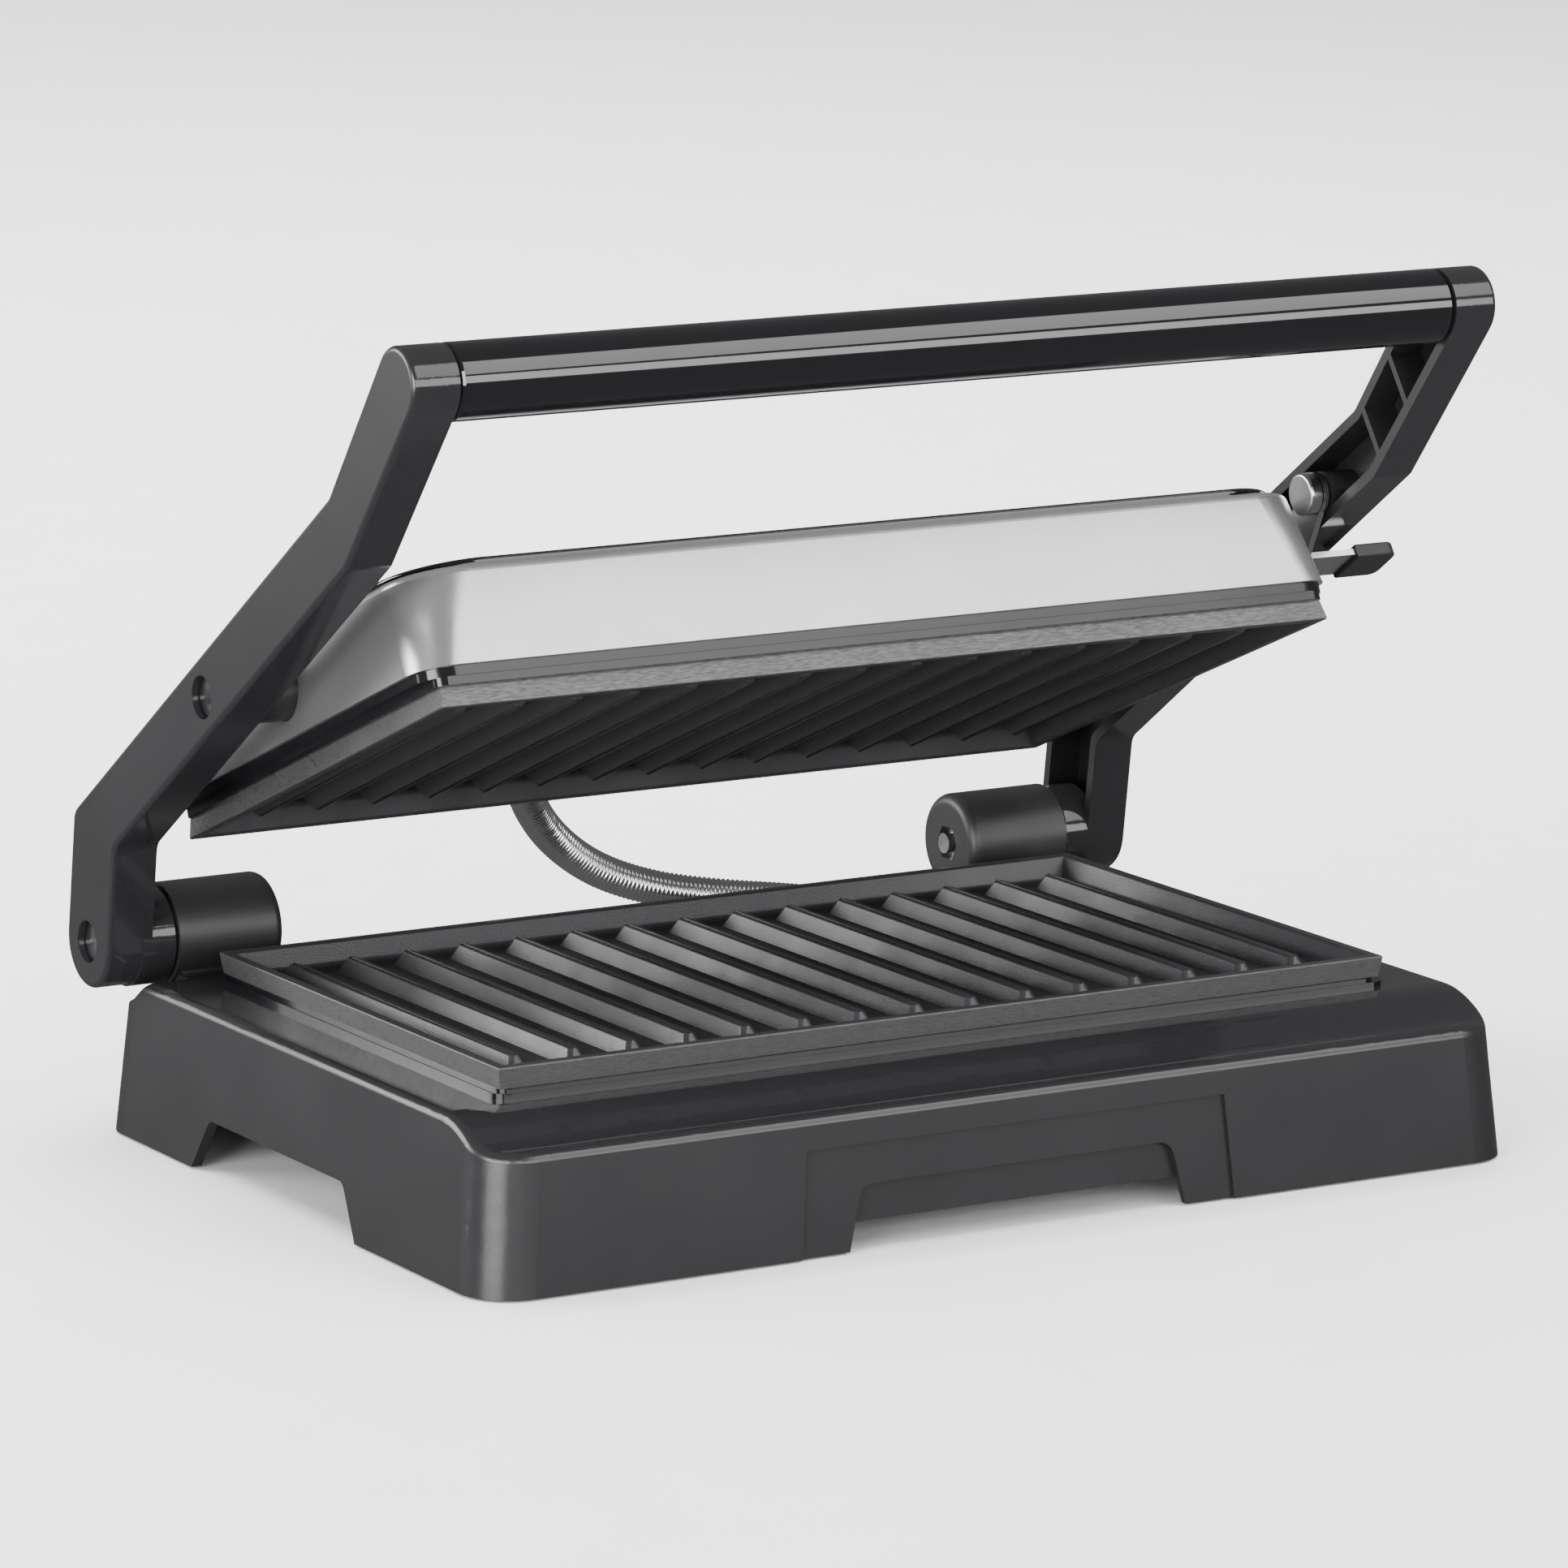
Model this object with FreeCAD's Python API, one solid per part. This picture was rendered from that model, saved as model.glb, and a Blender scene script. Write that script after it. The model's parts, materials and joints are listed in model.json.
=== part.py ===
import FreeCAD, Part
import math
import os

from FreeCAD import Vector

# A two-plate contact grill with a floating lid on two side arms.
# Millimetres. X to the right, Y to the back, Z up; Z = 0 is the surface that it stands on.
# Y = 0 is half way between the front of the base and the back of the hinge barrels.
# The arms and the lid are drawn with the lid closed, and are turned to the half-open
# rest position when they are saved. All pieces are drawn about the middle of the plates,
# and are moved sideways when they are saved, so that X = 0 is then half way across the
# whole, the lever's grip included.

# ---- driving dimensions -------------------------------------------------------------

# cooking plates
PLATE_W = 230.0
PLATE_D = 134.3
PLATE_FLANGE = 5.0
PLATE_DRAFT = 0.8
PLATE_CORNER_R = 3.0
PLATE_RIM = 2.6
PLATE_BASIN = 5.5
BASIN_SLOPE = 2.4
PLATE_FLOOR = 3.5
PLATE_BODY_INSET = 3.0
RIB_COUNT = 15
RIB_PITCH = 14.556
RIB_W = 6.4
RIB_TOP_W = 2.6
RIB_H = 3.6
RIB_FRONT_GAP = 14.0
RIB_REAR_GAP = 9.5
PLATE_GAP = 0.4
PLATE_FIT = 0.5

# moulded rings between the plates and their housings
LIP_H = 1.2
LIP_PROUD = 0.8
NECK_H = 0.8
NECK_INSET = 1.0
LID_NECK_H = 1.9
LID_LIP_H = 2.2
LID_LIP_PROUD = 2.7
SKIRT_FIT = 0.6
SKIRT_T = 1.3
LUG_PROUD = 0.25
SKIRT_H = 4.0
SKIRT_CORNER_R = 10.0

# base housing
BASE_SIDE_MARGIN = 18.7
BASE_FRONT_MARGIN = 28.55
BASE_BEHIND_HINGE = 5.0
BASE_CORNER_R = 12.0
BASE_DRAFT_DEG = 4.8
BASE_WALL = 2.6
FOOT_PROUD = 0.5
DECK_H = 36.6
FRONT_EDGE_H = 31.0
SLOPE_START = 6.1
SLOPE_END = 25.0
EDGE_R = 2.2
PANEL_TOP_W = 108.0
PANEL_BOTTOM_W = 112.0
PANEL_H = 23.6
PANEL_DEPTH = 0.9
NOTCH_TOP_W = 80.0
NOTCH_BOTTOM_W = 87.0
NOTCH_H = 14.5
NOTCH_R = 4.0
RECESS_DEPTH = 2.7
RECESS_WALL = 2.2
RECESS_FLOOR = 6.0
SIDE_NOTCH_FRONT = -28.0
SIDE_NOTCH_REAR = 37.0
SIDE_NOTCH_FLARE = 7.5
SIDE_NOTCH_H = 12.2
SIDE_NOTCH_R = 3.0
COVER_LIFT = 15.0
COVER_T = 2.0
COVER_FIT = 0.5

# hinge
HINGE_BACK = 20.85
HINGE_H = 44.4
HUB_R = 10.8
BARREL_R = 12.0
BARREL_L = 27.0
BARREL_EDGE_R = 2.5
BARREL_ARM_GAP = 6.7
SIDE_FIT = 0.3
RING_BOSS_R = 11.3
HINGE_SCREW_R = 2.5
RUNNING_FIT = 0.05
SCREW_HEAD_R = 4.4
SCREW_HEAD_H = 3.0
HEAD_FIT = 0.5
COUNTERBORE = 5.0
NUT_AF = 7.6
SOCKET_AF = 3.4
SOCKET_UP = 1.2
NUT_H = 3.4
NUT_POCKET = 5.0
NUT_FIT = 0.1
BRACKET_FRONT = 9.6
BRACKET_REAR = 0.8
BRACKET_IN = 1.5
BRACKET_FIT = 0.3
CLAMP_T = 2.0
CLAMP_LAP = 8.0
CLAMP_SIDE_LAP = 6.0
CLAMP_REAR_FIT = 0.345

# arms, seen from the side with the lid closed
ARM_SIDE_GAP = 8.4
ARM_T = 11.2
ARM_WALL = 2.4
ARM_WEB = 2.7
ARM_RISE_DEG = 47.0
ARM_MID_HALF = 8.2
ARM_TIP_DEG = 17.5
ARM_TIP_TAPER_DEG = 1.2
ARM_TIP_R = 8.5
ARM_BEVEL = 1.2
ARM_BEND_R = 4.5
ARM_BOSS_R = 7.0
ARM_RIB_T = 1.6
PIVOT_ABOVE_RIM = 20.3
HANDLE_REACH = 122.4
HANDLE_ABOVE_PIVOT = 13.3
HANDLE_R = 8.5
HANDLE_WALL = 2.2
CORE_R = 4.5
CORE_WALL = 1.0
SPIGOT_L = 14.0
SPIGOT_FIT = 0.1
SEAM = 0.4
SEAM_BEVEL = 0.9

# lid
LID_OVERHANG = 3.7
LID_DEEP_OVERHANG = 1.85
LID_DRAFT = 1.7
LID_CORNER_R = 9.0
LID_TOP_CORNER_R = 15.0
LID_BOTTOM_H = 9.1
LID_TOP_H = 31.3
LID_WALL = 1.2
LID_EDGE_R = 2.0
TOP_PANEL_H = 1.7
TOP_PANEL_NECK = 0.5
TOP_PANEL_SET = 2.0
TOP_PANEL_REAR = 20.0
TOP_PANEL_CORNER_R = 18.0
LENS_R = 3.0
LENS_PITCH = 16.0
LENS_FROM_FRONT = 14.0
LENS_PROUD = 0.6
LAMP_L = 5.4
PIVOT_BOSS_R = 7.0
PIVOT_BOSS_FIT = 0.2

# heating, the same parts in both halves
ELEMENT_R = 3.3
ELEMENT_END_GAP = 25.15
ELEMENT_SIDE_GAP = 37.0
ELEMENT_BEND_R = 24.0
ELEMENT_GAP = 0.2
STRAP_T = 1.2
STRAP_W = 8.0
SHIELD_T = 0.8
SHIELD_INSET = 7.0
SHIELD_BRIM = 7.3
LID_SHIELD_BRIM = 5.5
SHIELD_DEPTH = 13.1
PLATE_BOSS_R = 4.0
STAT_R = 7.0
STAT_H = 5.0

# lock lever on the right arm
LEVER_REACH = 58.0
LEVER_BELOW = 1.4
LEVER_T = 1.5
LEVER_HEAD_R = 5.0
LEVER_HEAD_T = 3.0
LEVER_PIN_R = 2.0
LEVER_DROP = 11.5
LEVER_TAB_FRONT = 11.0
LEVER_TAB_L = 10.5
LEVER_TAB_OUT = 23.5
GRIP_T = 3.4
GRIP_L = 11.5
GRIP_LAP = 0.6
GRIP_CORNER_R = 2.6

# glands, conduit
CONDUIT_R = 4.5
WIRE_R = 1.3
GLAND_R = 7.0
GLAND_NECK_R = 5.2
GLAND_OUT = 4.0
LID_GLAND_X = -8.0
LID_GLAND_H = 17.0
BASE_GLAND_X = 80.0
GLAND_Z = 25.6
INLET_X = -70.0
INLET_BORE_R = 3.6
GLAND_NECK_IN = 4.0
GLAND_NUT_H = 3.4
GLAND_EDGE_R = 0.8
CONDUIT_LAP = 0.5
WIRE_GAP = 1.0

# terminal block
BLOCK_W = 28.0
BLOCK_D = 12.0
BLOCK_H = 9.0
BLOCK_FROM_REAR = 22.85
BLOCK_SCREW_R = 1.6
BLOCK_PITCH = 9.0
BLOCK_HOLE = 2.0

# poses
ARM_OPEN_DEG = 35.0
LID_OPEN_DEG = 22.3

# small fasteners and feet
POST_R = 4.0
POST_OUT = 7.2
POST_SHARE = 0.36
PILOT_R = 1.3
TAP_R = 1.3
TAP_HEAD_R = 3.0
TAP_HEAD_H = 2.0
FOOT_R = 7.4
FOOT_H = 2.5
FOOT_STEM_R = 3.5
FOOT_STEM_H = 6.0
FOOT_CLEAR = 0.8
FOOT_WALL = 1.6
PLUG_FIT = 0.1

# ---- places worked out from the dimensions ------------------------------------------

HALF_W = PLATE_W / 2
HALF_D = PLATE_D / 2
ELEMENT_SPAN = PLATE_D - 2 * ELEMENT_END_GAP
ELEMENT_SIDE = HALF_W - ELEMENT_SIDE_GAP
PLATE_Y = (BASE_FRONT_MARGIN - HINGE_BACK - BARREL_R) / 2
FRONT_Y = PLATE_Y - HALF_D - BASE_FRONT_MARGIN
HINGE_Y = PLATE_Y + HALF_D + HINGE_BACK
REAR_Y = HINGE_Y + BASE_BEHIND_HINGE
BASE_HALF = HALF_W + BASE_SIDE_MARGIN
FLOOR_Z = FOOT_PROUD
DECK_Z = FLOOR_Z + DECK_H
DECK_UNDER = DECK_Z - BASE_WALL
HINGE_Z = FLOOR_Z + HINGE_H
DRAFT = math.tan(math.radians(BASE_DRAFT_DEG))
COVER_Z = FLOOR_Z + COVER_LIFT
COVER_TOP = COVER_Z + COVER_T
RIM_Z = DECK_Z + LIP_H + NECK_H + PLATE_FLANGE
PLATE_UNDER = PLATE_BASIN + PLATE_FLOOR
FOOT_IN = BASE_WALL + FOOT_R + FOOT_CLEAR
BLOCK_Y = REAR_Y - BLOCK_FROM_REAR
GLAND_WALL_IN = REAR_Y - BASE_WALL - (GLAND_Z - FLOOR_Z + GLAND_R) * DRAFT
WIRE_START = GLAND_WALL_IN - GLAND_NECK_IN - WIRE_GAP
WIRE_END_Z = COVER_TOP + BLOCK_H / 2
LID_RIM_Z = RIM_Z + PLATE_GAP
PIVOT_Z = LID_RIM_Z + PIVOT_ABOVE_RIM
LID_HALF = HALF_W + LID_OVERHANG
LID_DEEP = HALF_D + LID_DEEP_OVERHANG
LID_Z0 = LID_RIM_Z + LID_BOTTOM_H
LID_Z1 = LID_RIM_Z + LID_TOP_H
ARM_IN = LID_HALF + ARM_SIDE_GAP
ARM_OUT = ARM_IN + ARM_T
BARREL_OUT = ARM_IN - BARREL_ARM_GAP
BARREL_IN = BARREL_OUT - BARREL_L
HANDLE_Y = PLATE_Y - HANDLE_REACH
HANDLE_Z = PIVOT_Z + HANDLE_ABOVE_PIVOT
LEVER_Y = PLATE_Y - LEVER_REACH
LEVER_Z = PIVOT_Z - LEVER_BELOW
FLOAT_DEG = ARM_OPEN_DEG - LID_OPEN_DEG
TO_MIDDLE = Vector((ARM_OUT - ARM_IN - LEVER_TAB_OUT) / 2, 0, 0)


# ---- helpers ------------------------------------------------------------------------

def box(x0, x1, y0, y1, z0, z1):
    return Part.makeBox(x1 - x0, y1 - y0, z1 - z0, Vector(x0, y0, z0))


def rod_x(r, x0, x1, y, z):
    return Part.makeCylinder(r, x1 - x0, Vector(x0, y, z), Vector(1, 0, 0))


def rod_y(r, x, y0, y1, z):
    return Part.makeCylinder(r, y1 - y0, Vector(x, y0, z), Vector(0, 1, 0))


def rod_z(r, x, y, z0, z1):
    return Part.makeCylinder(r, z1 - z0, Vector(x, y, z0), Vector(0, 0, 1))


def fused(first, *others):
    return first.fuse(list(others)).removeSplitter()


def group(shapes):
    return Part.makeCompound(shapes)


def mirrored(shape):
    """The same piece on the other side of the machine."""
    return shape.mirror(Vector(0, 0, 0), Vector(1, 0, 0))


def both_sides(shapes):
    return shapes + [mirrored(s) for s in shapes]


def prism_x(points, x0, x1):
    """An outline of (y, z) points, pushed along X."""
    corners = [Vector(x0, y, z) for y, z in points]
    face = Part.Face(Part.makePolygon(corners + corners[:1]))
    return face.extrude(Vector(x1 - x0, 0, 0))


def prism_y(points, y0, y1):
    """An outline of (x, z) points, pushed along Y."""
    corners = [Vector(x, y0, z) for x, z in points]
    face = Part.Face(Part.makePolygon(corners + corners[:1]))
    return face.extrude(Vector(0, y1 - y0, 0))


def rounded_wire(w, y0, y1, r, z):
    """A rectangle of half-width w with round corners, at height z."""
    k = r * (1 - math.sqrt(0.5))
    edges = [
        Part.LineSegment(Vector(r - w, y0, z), Vector(w - r, y0, z)),
        Part.Arc(Vector(w - r, y0, z), Vector(w - k, y0 + k, z), Vector(w, y0 + r, z)),
        Part.LineSegment(Vector(w, y0 + r, z), Vector(w, y1 - r, z)),
        Part.Arc(Vector(w, y1 - r, z), Vector(w - k, y1 - k, z), Vector(w - r, y1, z)),
        Part.LineSegment(Vector(w - r, y1, z), Vector(r - w, y1, z)),
        Part.Arc(Vector(r - w, y1, z), Vector(k - w, y1 - k, z), Vector(-w, y1 - r, z)),
        Part.LineSegment(Vector(-w, y1 - r, z), Vector(-w, y0 + r, z)),
        Part.Arc(Vector(-w, y0 + r, z), Vector(k - w, y0 + k, z), Vector(r - w, y0, z)),
    ]
    return Part.Wire([e.toShape() for e in edges])


def rounded_block(w, y0, y1, r, z0, z1):
    face = Part.Face(rounded_wire(w, y0, y1, r, z0))
    return face.extrude(Vector(0, 0, z1 - z0))


def centred_block(inset, r, z0, z1):
    """A block with the cooking plate's outline, moved in by inset."""
    deep = HALF_D - inset
    return rounded_block(HALF_W - inset, PLATE_Y - deep, PLATE_Y + deep, r, z0, z1)


def tapered_block(w, y0, y1, r0, r1, z0, z1, taper):
    """A round-cornered block whose walls lean in by taper between z0 and z1."""
    low = rounded_wire(w, y0, y1, r0, z0)
    high = rounded_wire(w - taper, y0 + taper, y1 - taper, r1, z1)
    return Part.makeLoft([low, high], True, True)


def edges_where(shape, test):
    """The edges whose middle point passes the test."""
    found = []
    for edge in shape.Edges:
        middle = edge.valueAt((edge.FirstParameter + edge.LastParameter) / 2)
        if test(middle):
            found.append(edge)
    return found


def hexagon_x(across, x0, x1, y, z):
    """A hexagonal bar along X."""
    r = across / math.sqrt(3)
    angles = [math.radians(60 * i) for i in range(6)]
    return prism_x([(y + r * math.cos(t), z + r * math.sin(t)) for t in angles], x0, x1)


def turned(shape, y, z, degrees):
    """A copy turned about an axis along X; positive lifts the front."""
    copy = shape.copy()
    copy.rotate(Vector(0, y, z), Vector(-1, 0, 0), degrees)
    return copy


def with_arms(shape):
    """From the closed lid to the rest position, for what is fixed to the arms."""
    return turned(shape, HINGE_Y, HINGE_Z, ARM_OPEN_DEG)


def with_lid(shape):
    """From the closed lid to the rest position, for what is fixed to the floating lid."""
    return with_arms(turned(shape, PLATE_Y, PIVOT_Z, -FLOAT_DEG))


def tube_path(points):
    """Straight runs joined by tangent arcs, and the smallest arc's radius."""
    points = [Vector(*p) for p in points]
    edges = []
    radii = []
    start = points[0]
    for before, corner, after in zip(points, points[1:], points[2:]):
        back = before - corner
        ahead = after - corner
        half_turn = (math.pi - back.getAngle(ahead)) / 2
        trim = 0.45 * min(back.Length, ahead.Length)
        radius = trim / math.tan(half_turn)
        radii.append(radius)
        back.normalize()
        ahead.normalize()
        enter = corner + back * trim
        leave = corner + ahead * trim
        inward = back + ahead
        inward.normalize()
        middle = corner + inward * (radius / math.cos(half_turn) - radius)
        edges.append(Part.LineSegment(start, enter).toShape())
        edges.append(Part.Arc(enter, middle, leave).toShape())
        start = leave
    edges.append(Part.LineSegment(start, points[-1]).toShape())
    return Part.Wire(edges), radii


def tube(name, points, r):
    path, radii = tube_path(points)
    direction = Vector(*points[1]) - Vector(*points[0])
    ring = Part.Wire(Part.makeCircle(r, Vector(*points[0]), direction))
    solid = path.makePipeShell([ring], True, False)
    ratio = solid.Volume / (math.pi * r * r * path.Length)
    print(name, "length %.1f, volume over section times length %.4f" % (path.Length, ratio))
    print(name, "radii", " ".join("%.1f" % radius for radius in radii))
    return solid


def small_screw(x, y, z_seat, length, up):
    """A small screw whose head seats at z_seat; up is 1 if its point looks up, else -1."""
    z_tip = z_seat + up * length
    z_top = z_seat - up * TAP_HEAD_H
    shank = rod_z(TAP_R, x, y, min(z_seat, z_tip), max(z_seat, z_tip))
    head = rod_z(TAP_HEAD_R, x, y, min(z_seat, z_top), max(z_seat, z_top))
    z_slot = z_top + up * 0.9
    slot = box(x - 2.0, x + 2.0, y - 0.4, y + 0.4, min(z_top, z_slot), max(z_top, z_slot))
    return fused(shank, head).cut(slot)


# ---- the same in both halves: cast plate, element, shield, switch --------------------

BOSS_FOOT_IN = HALF_W - 2.7
BOSS_FOOT_HALF = 14.0
SHIELD_SCREW_XY = [(x, y) for x in (-88.0, 88.0) for y in (-26.0, 26.0)]


def grill_plate():
    """A cast plate with its rim at z = 0 and its body below, centred on x = y = 0."""
    out = PLATE_DRAFT
    flange = tapered_block(HALF_W - out, out - HALF_D, HALF_D - out, PLATE_CORNER_R,
                           PLATE_CORNER_R + out, -PLATE_FLANGE, 0, -out)
    deep = HALF_D - PLATE_BODY_INSET
    body = rounded_block(HALF_W - PLATE_BODY_INSET, -deep, deep, PLATE_CORNER_R,
                         -PLATE_UNDER, -PLATE_FLANGE)
    inset = PLATE_RIM + BASIN_SLOPE
    basin = tapered_block(HALF_W - inset, inset - HALF_D, HALF_D - inset, PLATE_CORNER_R,
                          PLATE_CORNER_R + BASIN_SLOPE, -PLATE_BASIN, 0, -BASIN_SLOPE)
    slope = (RIB_W - RIB_TOP_W) / 2
    rib = tapered_block(RIB_W / 2, RIB_FRONT_GAP - HALF_D, HALF_D - RIB_REAR_GAP,
                        RIB_W / 2 - 0.05, RIB_TOP_W / 2 - 0.05, -PLATE_BASIN,
                        RIB_H - PLATE_BASIN, slope)
    first = -(RIB_COUNT - 1) / 2
    ribs = [rib.translated(Vector((first + i) * RIB_PITCH, 0, 0)) for i in range(RIB_COUNT)]
    bosses = [rod_z(PLATE_BOSS_R, x, y, SHIELD_T - PLATE_UNDER - SHIELD_DEPTH, -PLATE_UNDER)
              for x, y in SHIELD_SCREW_XY]
    pilots = [rod_z(PILOT_R, x, y, -PLATE_UNDER - SHIELD_DEPTH, -PLATE_UNDER - 2)
              for x, y in SHIELD_SCREW_XY]
    return flange.fuse(body).cut(basin).fuse(ribs).fuse(bosses).cut(pilots)


def heating_element():
    """A bent tube under a plate's floor, whose underside is at z = 0."""
    z = -ELEMENT_R - ELEMENT_GAP
    side = ELEMENT_SIDE
    half = ELEMENT_SPAN / 2
    r = ELEMENT_BEND_R
    k = r * math.sqrt(0.5)
    start = Vector(-side, -half, z)
    edges = [
        Part.LineSegment(start, Vector(side - r, -half, z)),
        Part.Arc(Vector(side - r, -half, z), Vector(side - r + k, r - half - k, z),
                 Vector(side, r - half, z)),
        Part.LineSegment(Vector(side, r - half, z), Vector(side, half - r, z)),
        Part.Arc(Vector(side, half - r, z), Vector(side - r + k, half - r + k, z),
                 Vector(side - r, half, z)),
        Part.LineSegment(Vector(side - r, half, z), Vector(-side, half, z)),
    ]
    path = Part.Wire([e.toShape() for e in edges])
    ring = Part.Wire(Part.makeCircle(ELEMENT_R, start, Vector(1, 0, 0)))
    bar = path.makePipeShell([ring], True, False)
    pins = [rod_x(1.2, -side - 8, -side, y, z) for y in (-half, half)]
    return bar.fuse(pins)


def element_straps():
    """Bent straps that hold the element against the plate's underside at z = 0."""
    straps = []
    r = ELEMENT_R + ELEMENT_GAP
    z = -ELEMENT_R - ELEMENT_GAP
    for x in (-ELEMENT_SIDE * 0.6, ELEMENT_SIDE * 0.35):
        for y in (-ELEMENT_SPAN / 2, ELEMENT_SPAN / 2):
            x0 = x - STRAP_W / 2
            x1 = x + STRAP_W / 2
            arch = rod_x(r + STRAP_T, x0, x1, y, z)
            sides = box(x0, x1, y - r - STRAP_T, y + r + STRAP_T, z, 0)
            feet = box(x0, x1, y - r - STRAP_T - 5, y + r + STRAP_T + 5, -STRAP_T, 0)
            hollow = rod_x(r, x0 - 1, x1 + 1, y, z)
            mouth = box(x0 - 1, x1 + 1, y - r, y + r, z, 1)
            above = box(x0 - 1, x1 + 1, y - 2 * r, y + 2 * r, 0, 2)
            straps.append(arch.fuse([sides, feet]).cut([hollow, mouth, above]))
    return group(straps)


def heat_shield(stack, brim_w):
    """A folded tray round the element, under a plate whose underside is at z = 0. Its brim
    clamps the stack of mouldings under the plate's flange, and is notched for the pivots."""
    half = HALF_W - SHIELD_INSET
    deep = HALF_D - SHIELD_INSET
    top = PLATE_UNDER - PLATE_FLANGE - stack
    brim = rounded_block(half + brim_w, -deep - brim_w, deep + brim_w, 5, top - SHIELD_T, top)
    notch = box(BOSS_FOOT_IN - 0.6, HALF_W + 20, -BOSS_FOOT_HALF - 0.5, BOSS_FOOT_HALF + 0.5,
                top - 2, top + 1)
    brim = brim.cut(both_sides([notch]))
    tray = rounded_block(half, -deep, deep, 4, -SHIELD_DEPTH, top)
    hollow = rounded_block(half - SHIELD_T, SHIELD_T - deep, deep - SHIELD_T, 4 - SHIELD_T,
                           SHIELD_T - SHIELD_DEPTH, top + 1)
    holes = [rod_z(TAP_R + PLUG_FIT, x, y, -SHIELD_DEPTH - 1, SHIELD_T - SHIELD_DEPTH)
             for x, y in SHIELD_SCREW_XY]
    return brim.fuse(tray).cut(hollow).cut(holes)


def shield_screws():
    return group([small_screw(x, y, -SHIELD_DEPTH, 9.0, 1) for x, y in SHIELD_SCREW_XY])


def thermostat():
    """A round switch against the plate's underside at z = 0, with two tabs."""
    can = rod_z(STAT_R, 0, 0, -STAT_H, 0)
    collar = rod_z(STAT_R + 1.2, 0, 0, -1, 0)
    tabs = [box(x - 2, x + 2, -0.4, 0.4, -STAT_H - 4, -STAT_H) for x in (-4, 4)]
    return can.fuse([collar] + tabs)


def in_base(shape):
    """From a plate-underside frame to the lower half."""
    return shape.translated(Vector(0, PLATE_Y, RIM_Z - PLATE_UNDER))


def in_lid(shape):
    """From a plate-underside frame to the lid, upside down."""
    flipped = shape.mirror(Vector(0, 0, 0), Vector(0, 0, 1))
    return flipped.translated(Vector(0, PLATE_Y, LID_RIM_Z + PLATE_UNDER))


def plate_in_base(shape):
    return shape.translated(Vector(0, PLATE_Y, RIM_Z))


def plate_in_lid(shape):
    flipped = shape.mirror(Vector(0, 0, 0), Vector(0, 0, 1))
    return flipped.translated(Vector(0, PLATE_Y, LID_RIM_Z))


# ---- base ---------------------------------------------------------------------------

def base_block(shrink, below):
    """The housing's outside, or its inside when shrink is the wall; below goes past the foot."""
    z0 = FLOOR_Z - below
    height = DECK_H + 6 + below
    w = BASE_HALF - shrink + below * DRAFT
    y0 = FRONT_Y + shrink - below * DRAFT
    y1 = REAR_Y - shrink + below * DRAFT
    r = BASE_CORNER_R - shrink
    block = tapered_block(w, y0, y1, r, r, z0, z0 + height, height * DRAFT)
    deck = DECK_Z - shrink
    front = FLOOR_Z + FRONT_EDGE_H - shrink
    s0 = FRONT_Y + SLOPE_START + shrink / 2
    s1 = FRONT_Y + SLOPE_END + shrink / 2
    third = (s1 - s0) / 3
    x = -BASE_HALF - 5
    curve = Part.BezierCurve()
    curve.setPoles([Vector(x, s1, deck), Vector(x, s1 - 1.6 * third, deck),
                    Vector(x, s0 + third, front), Vector(x, s0, front)])
    rest = Part.makePolygon([Vector(x, s0, front), Vector(x, FRONT_Y - 5, front),
                             Vector(x, FRONT_Y - 5, z0), Vector(x, REAR_Y + 5, z0),
                             Vector(x, REAR_Y + 5, deck), Vector(x, s1, deck)])
    wire = Part.Wire([curve.toShape()] + rest.Edges)
    profile = Part.Face(wire).extrude(Vector(2 * BASE_HALF + 10, 0, 0))
    return block.common(profile)


def hub_reliefs(shrink):
    """What is cut from the two rear corners so that the arm hubs swing clear."""
    start = HINGE_Y - HUB_R - 4.4 - shrink
    step = HINGE_Z - HUB_R - 1.6 - shrink
    low = HINGE_Z - HUB_R - 4.9 - shrink
    points = [(start, DECK_Z + 9), (start, DECK_Z - shrink), (start + 6, step),
              (HINGE_Y - 1, low), (REAR_Y + 9, low), (REAR_Y + 9, DECK_Z + 9)]
    cut = prism_x(points, BARREL_OUT - 0.5 - shrink, BASE_HALF + 9)
    return both_sides([cut])


def skin(depth):
    """The housing's block moved back by depth, to cut or add to a given depth at the front."""
    return base_block(0, 2).translated(Vector(0, depth, 0))


def notch_prism(z0, y0, y1):
    """The outline of the notch in the front, from z0 up, with round upper corners."""
    z1 = FLOOR_Z + NOTCH_H
    slope = (NOTCH_BOTTOM_W - NOTCH_TOP_W) / 2 / NOTCH_H
    low = NOTCH_TOP_W / 2 + slope * (z1 - z0)
    top = NOTCH_TOP_W / 2
    cut = prism_y([(-low, z0), (-top, z1), (top, z1), (low, z0)], y0, y1)
    corners = edges_where(cut, lambda p: abs(p.z - z1) < 0.01 and abs(abs(p.x) - top) < 0.1)
    return cut.makeFillet(NOTCH_R, corners)


def side_notches():
    z0 = FLOOR_Z - 3
    z1 = FLOOR_Z + SIDE_NOTCH_H
    front = PLATE_Y + SIDE_NOTCH_FRONT
    rear = PLATE_Y + SIDE_NOTCH_REAR
    flare = SIDE_NOTCH_FLARE
    points = [(front - flare, z0), (front - flare, FLOOR_Z), (front, z1), (rear, z1),
              (rear + flare, FLOOR_Z), (rear + flare, z0)]
    cut = prism_x(points, -BASE_HALF - 5, BASE_HALF + 5)
    tops = edges_where(cut, lambda p: abs(p.z - z1) < 0.01 and abs(p.x) < 0.01
                       and min(abs(p.y - front), abs(p.y - rear)) < 0.1)
    return cut.makeFillet(SIDE_NOTCH_R, tops)


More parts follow.
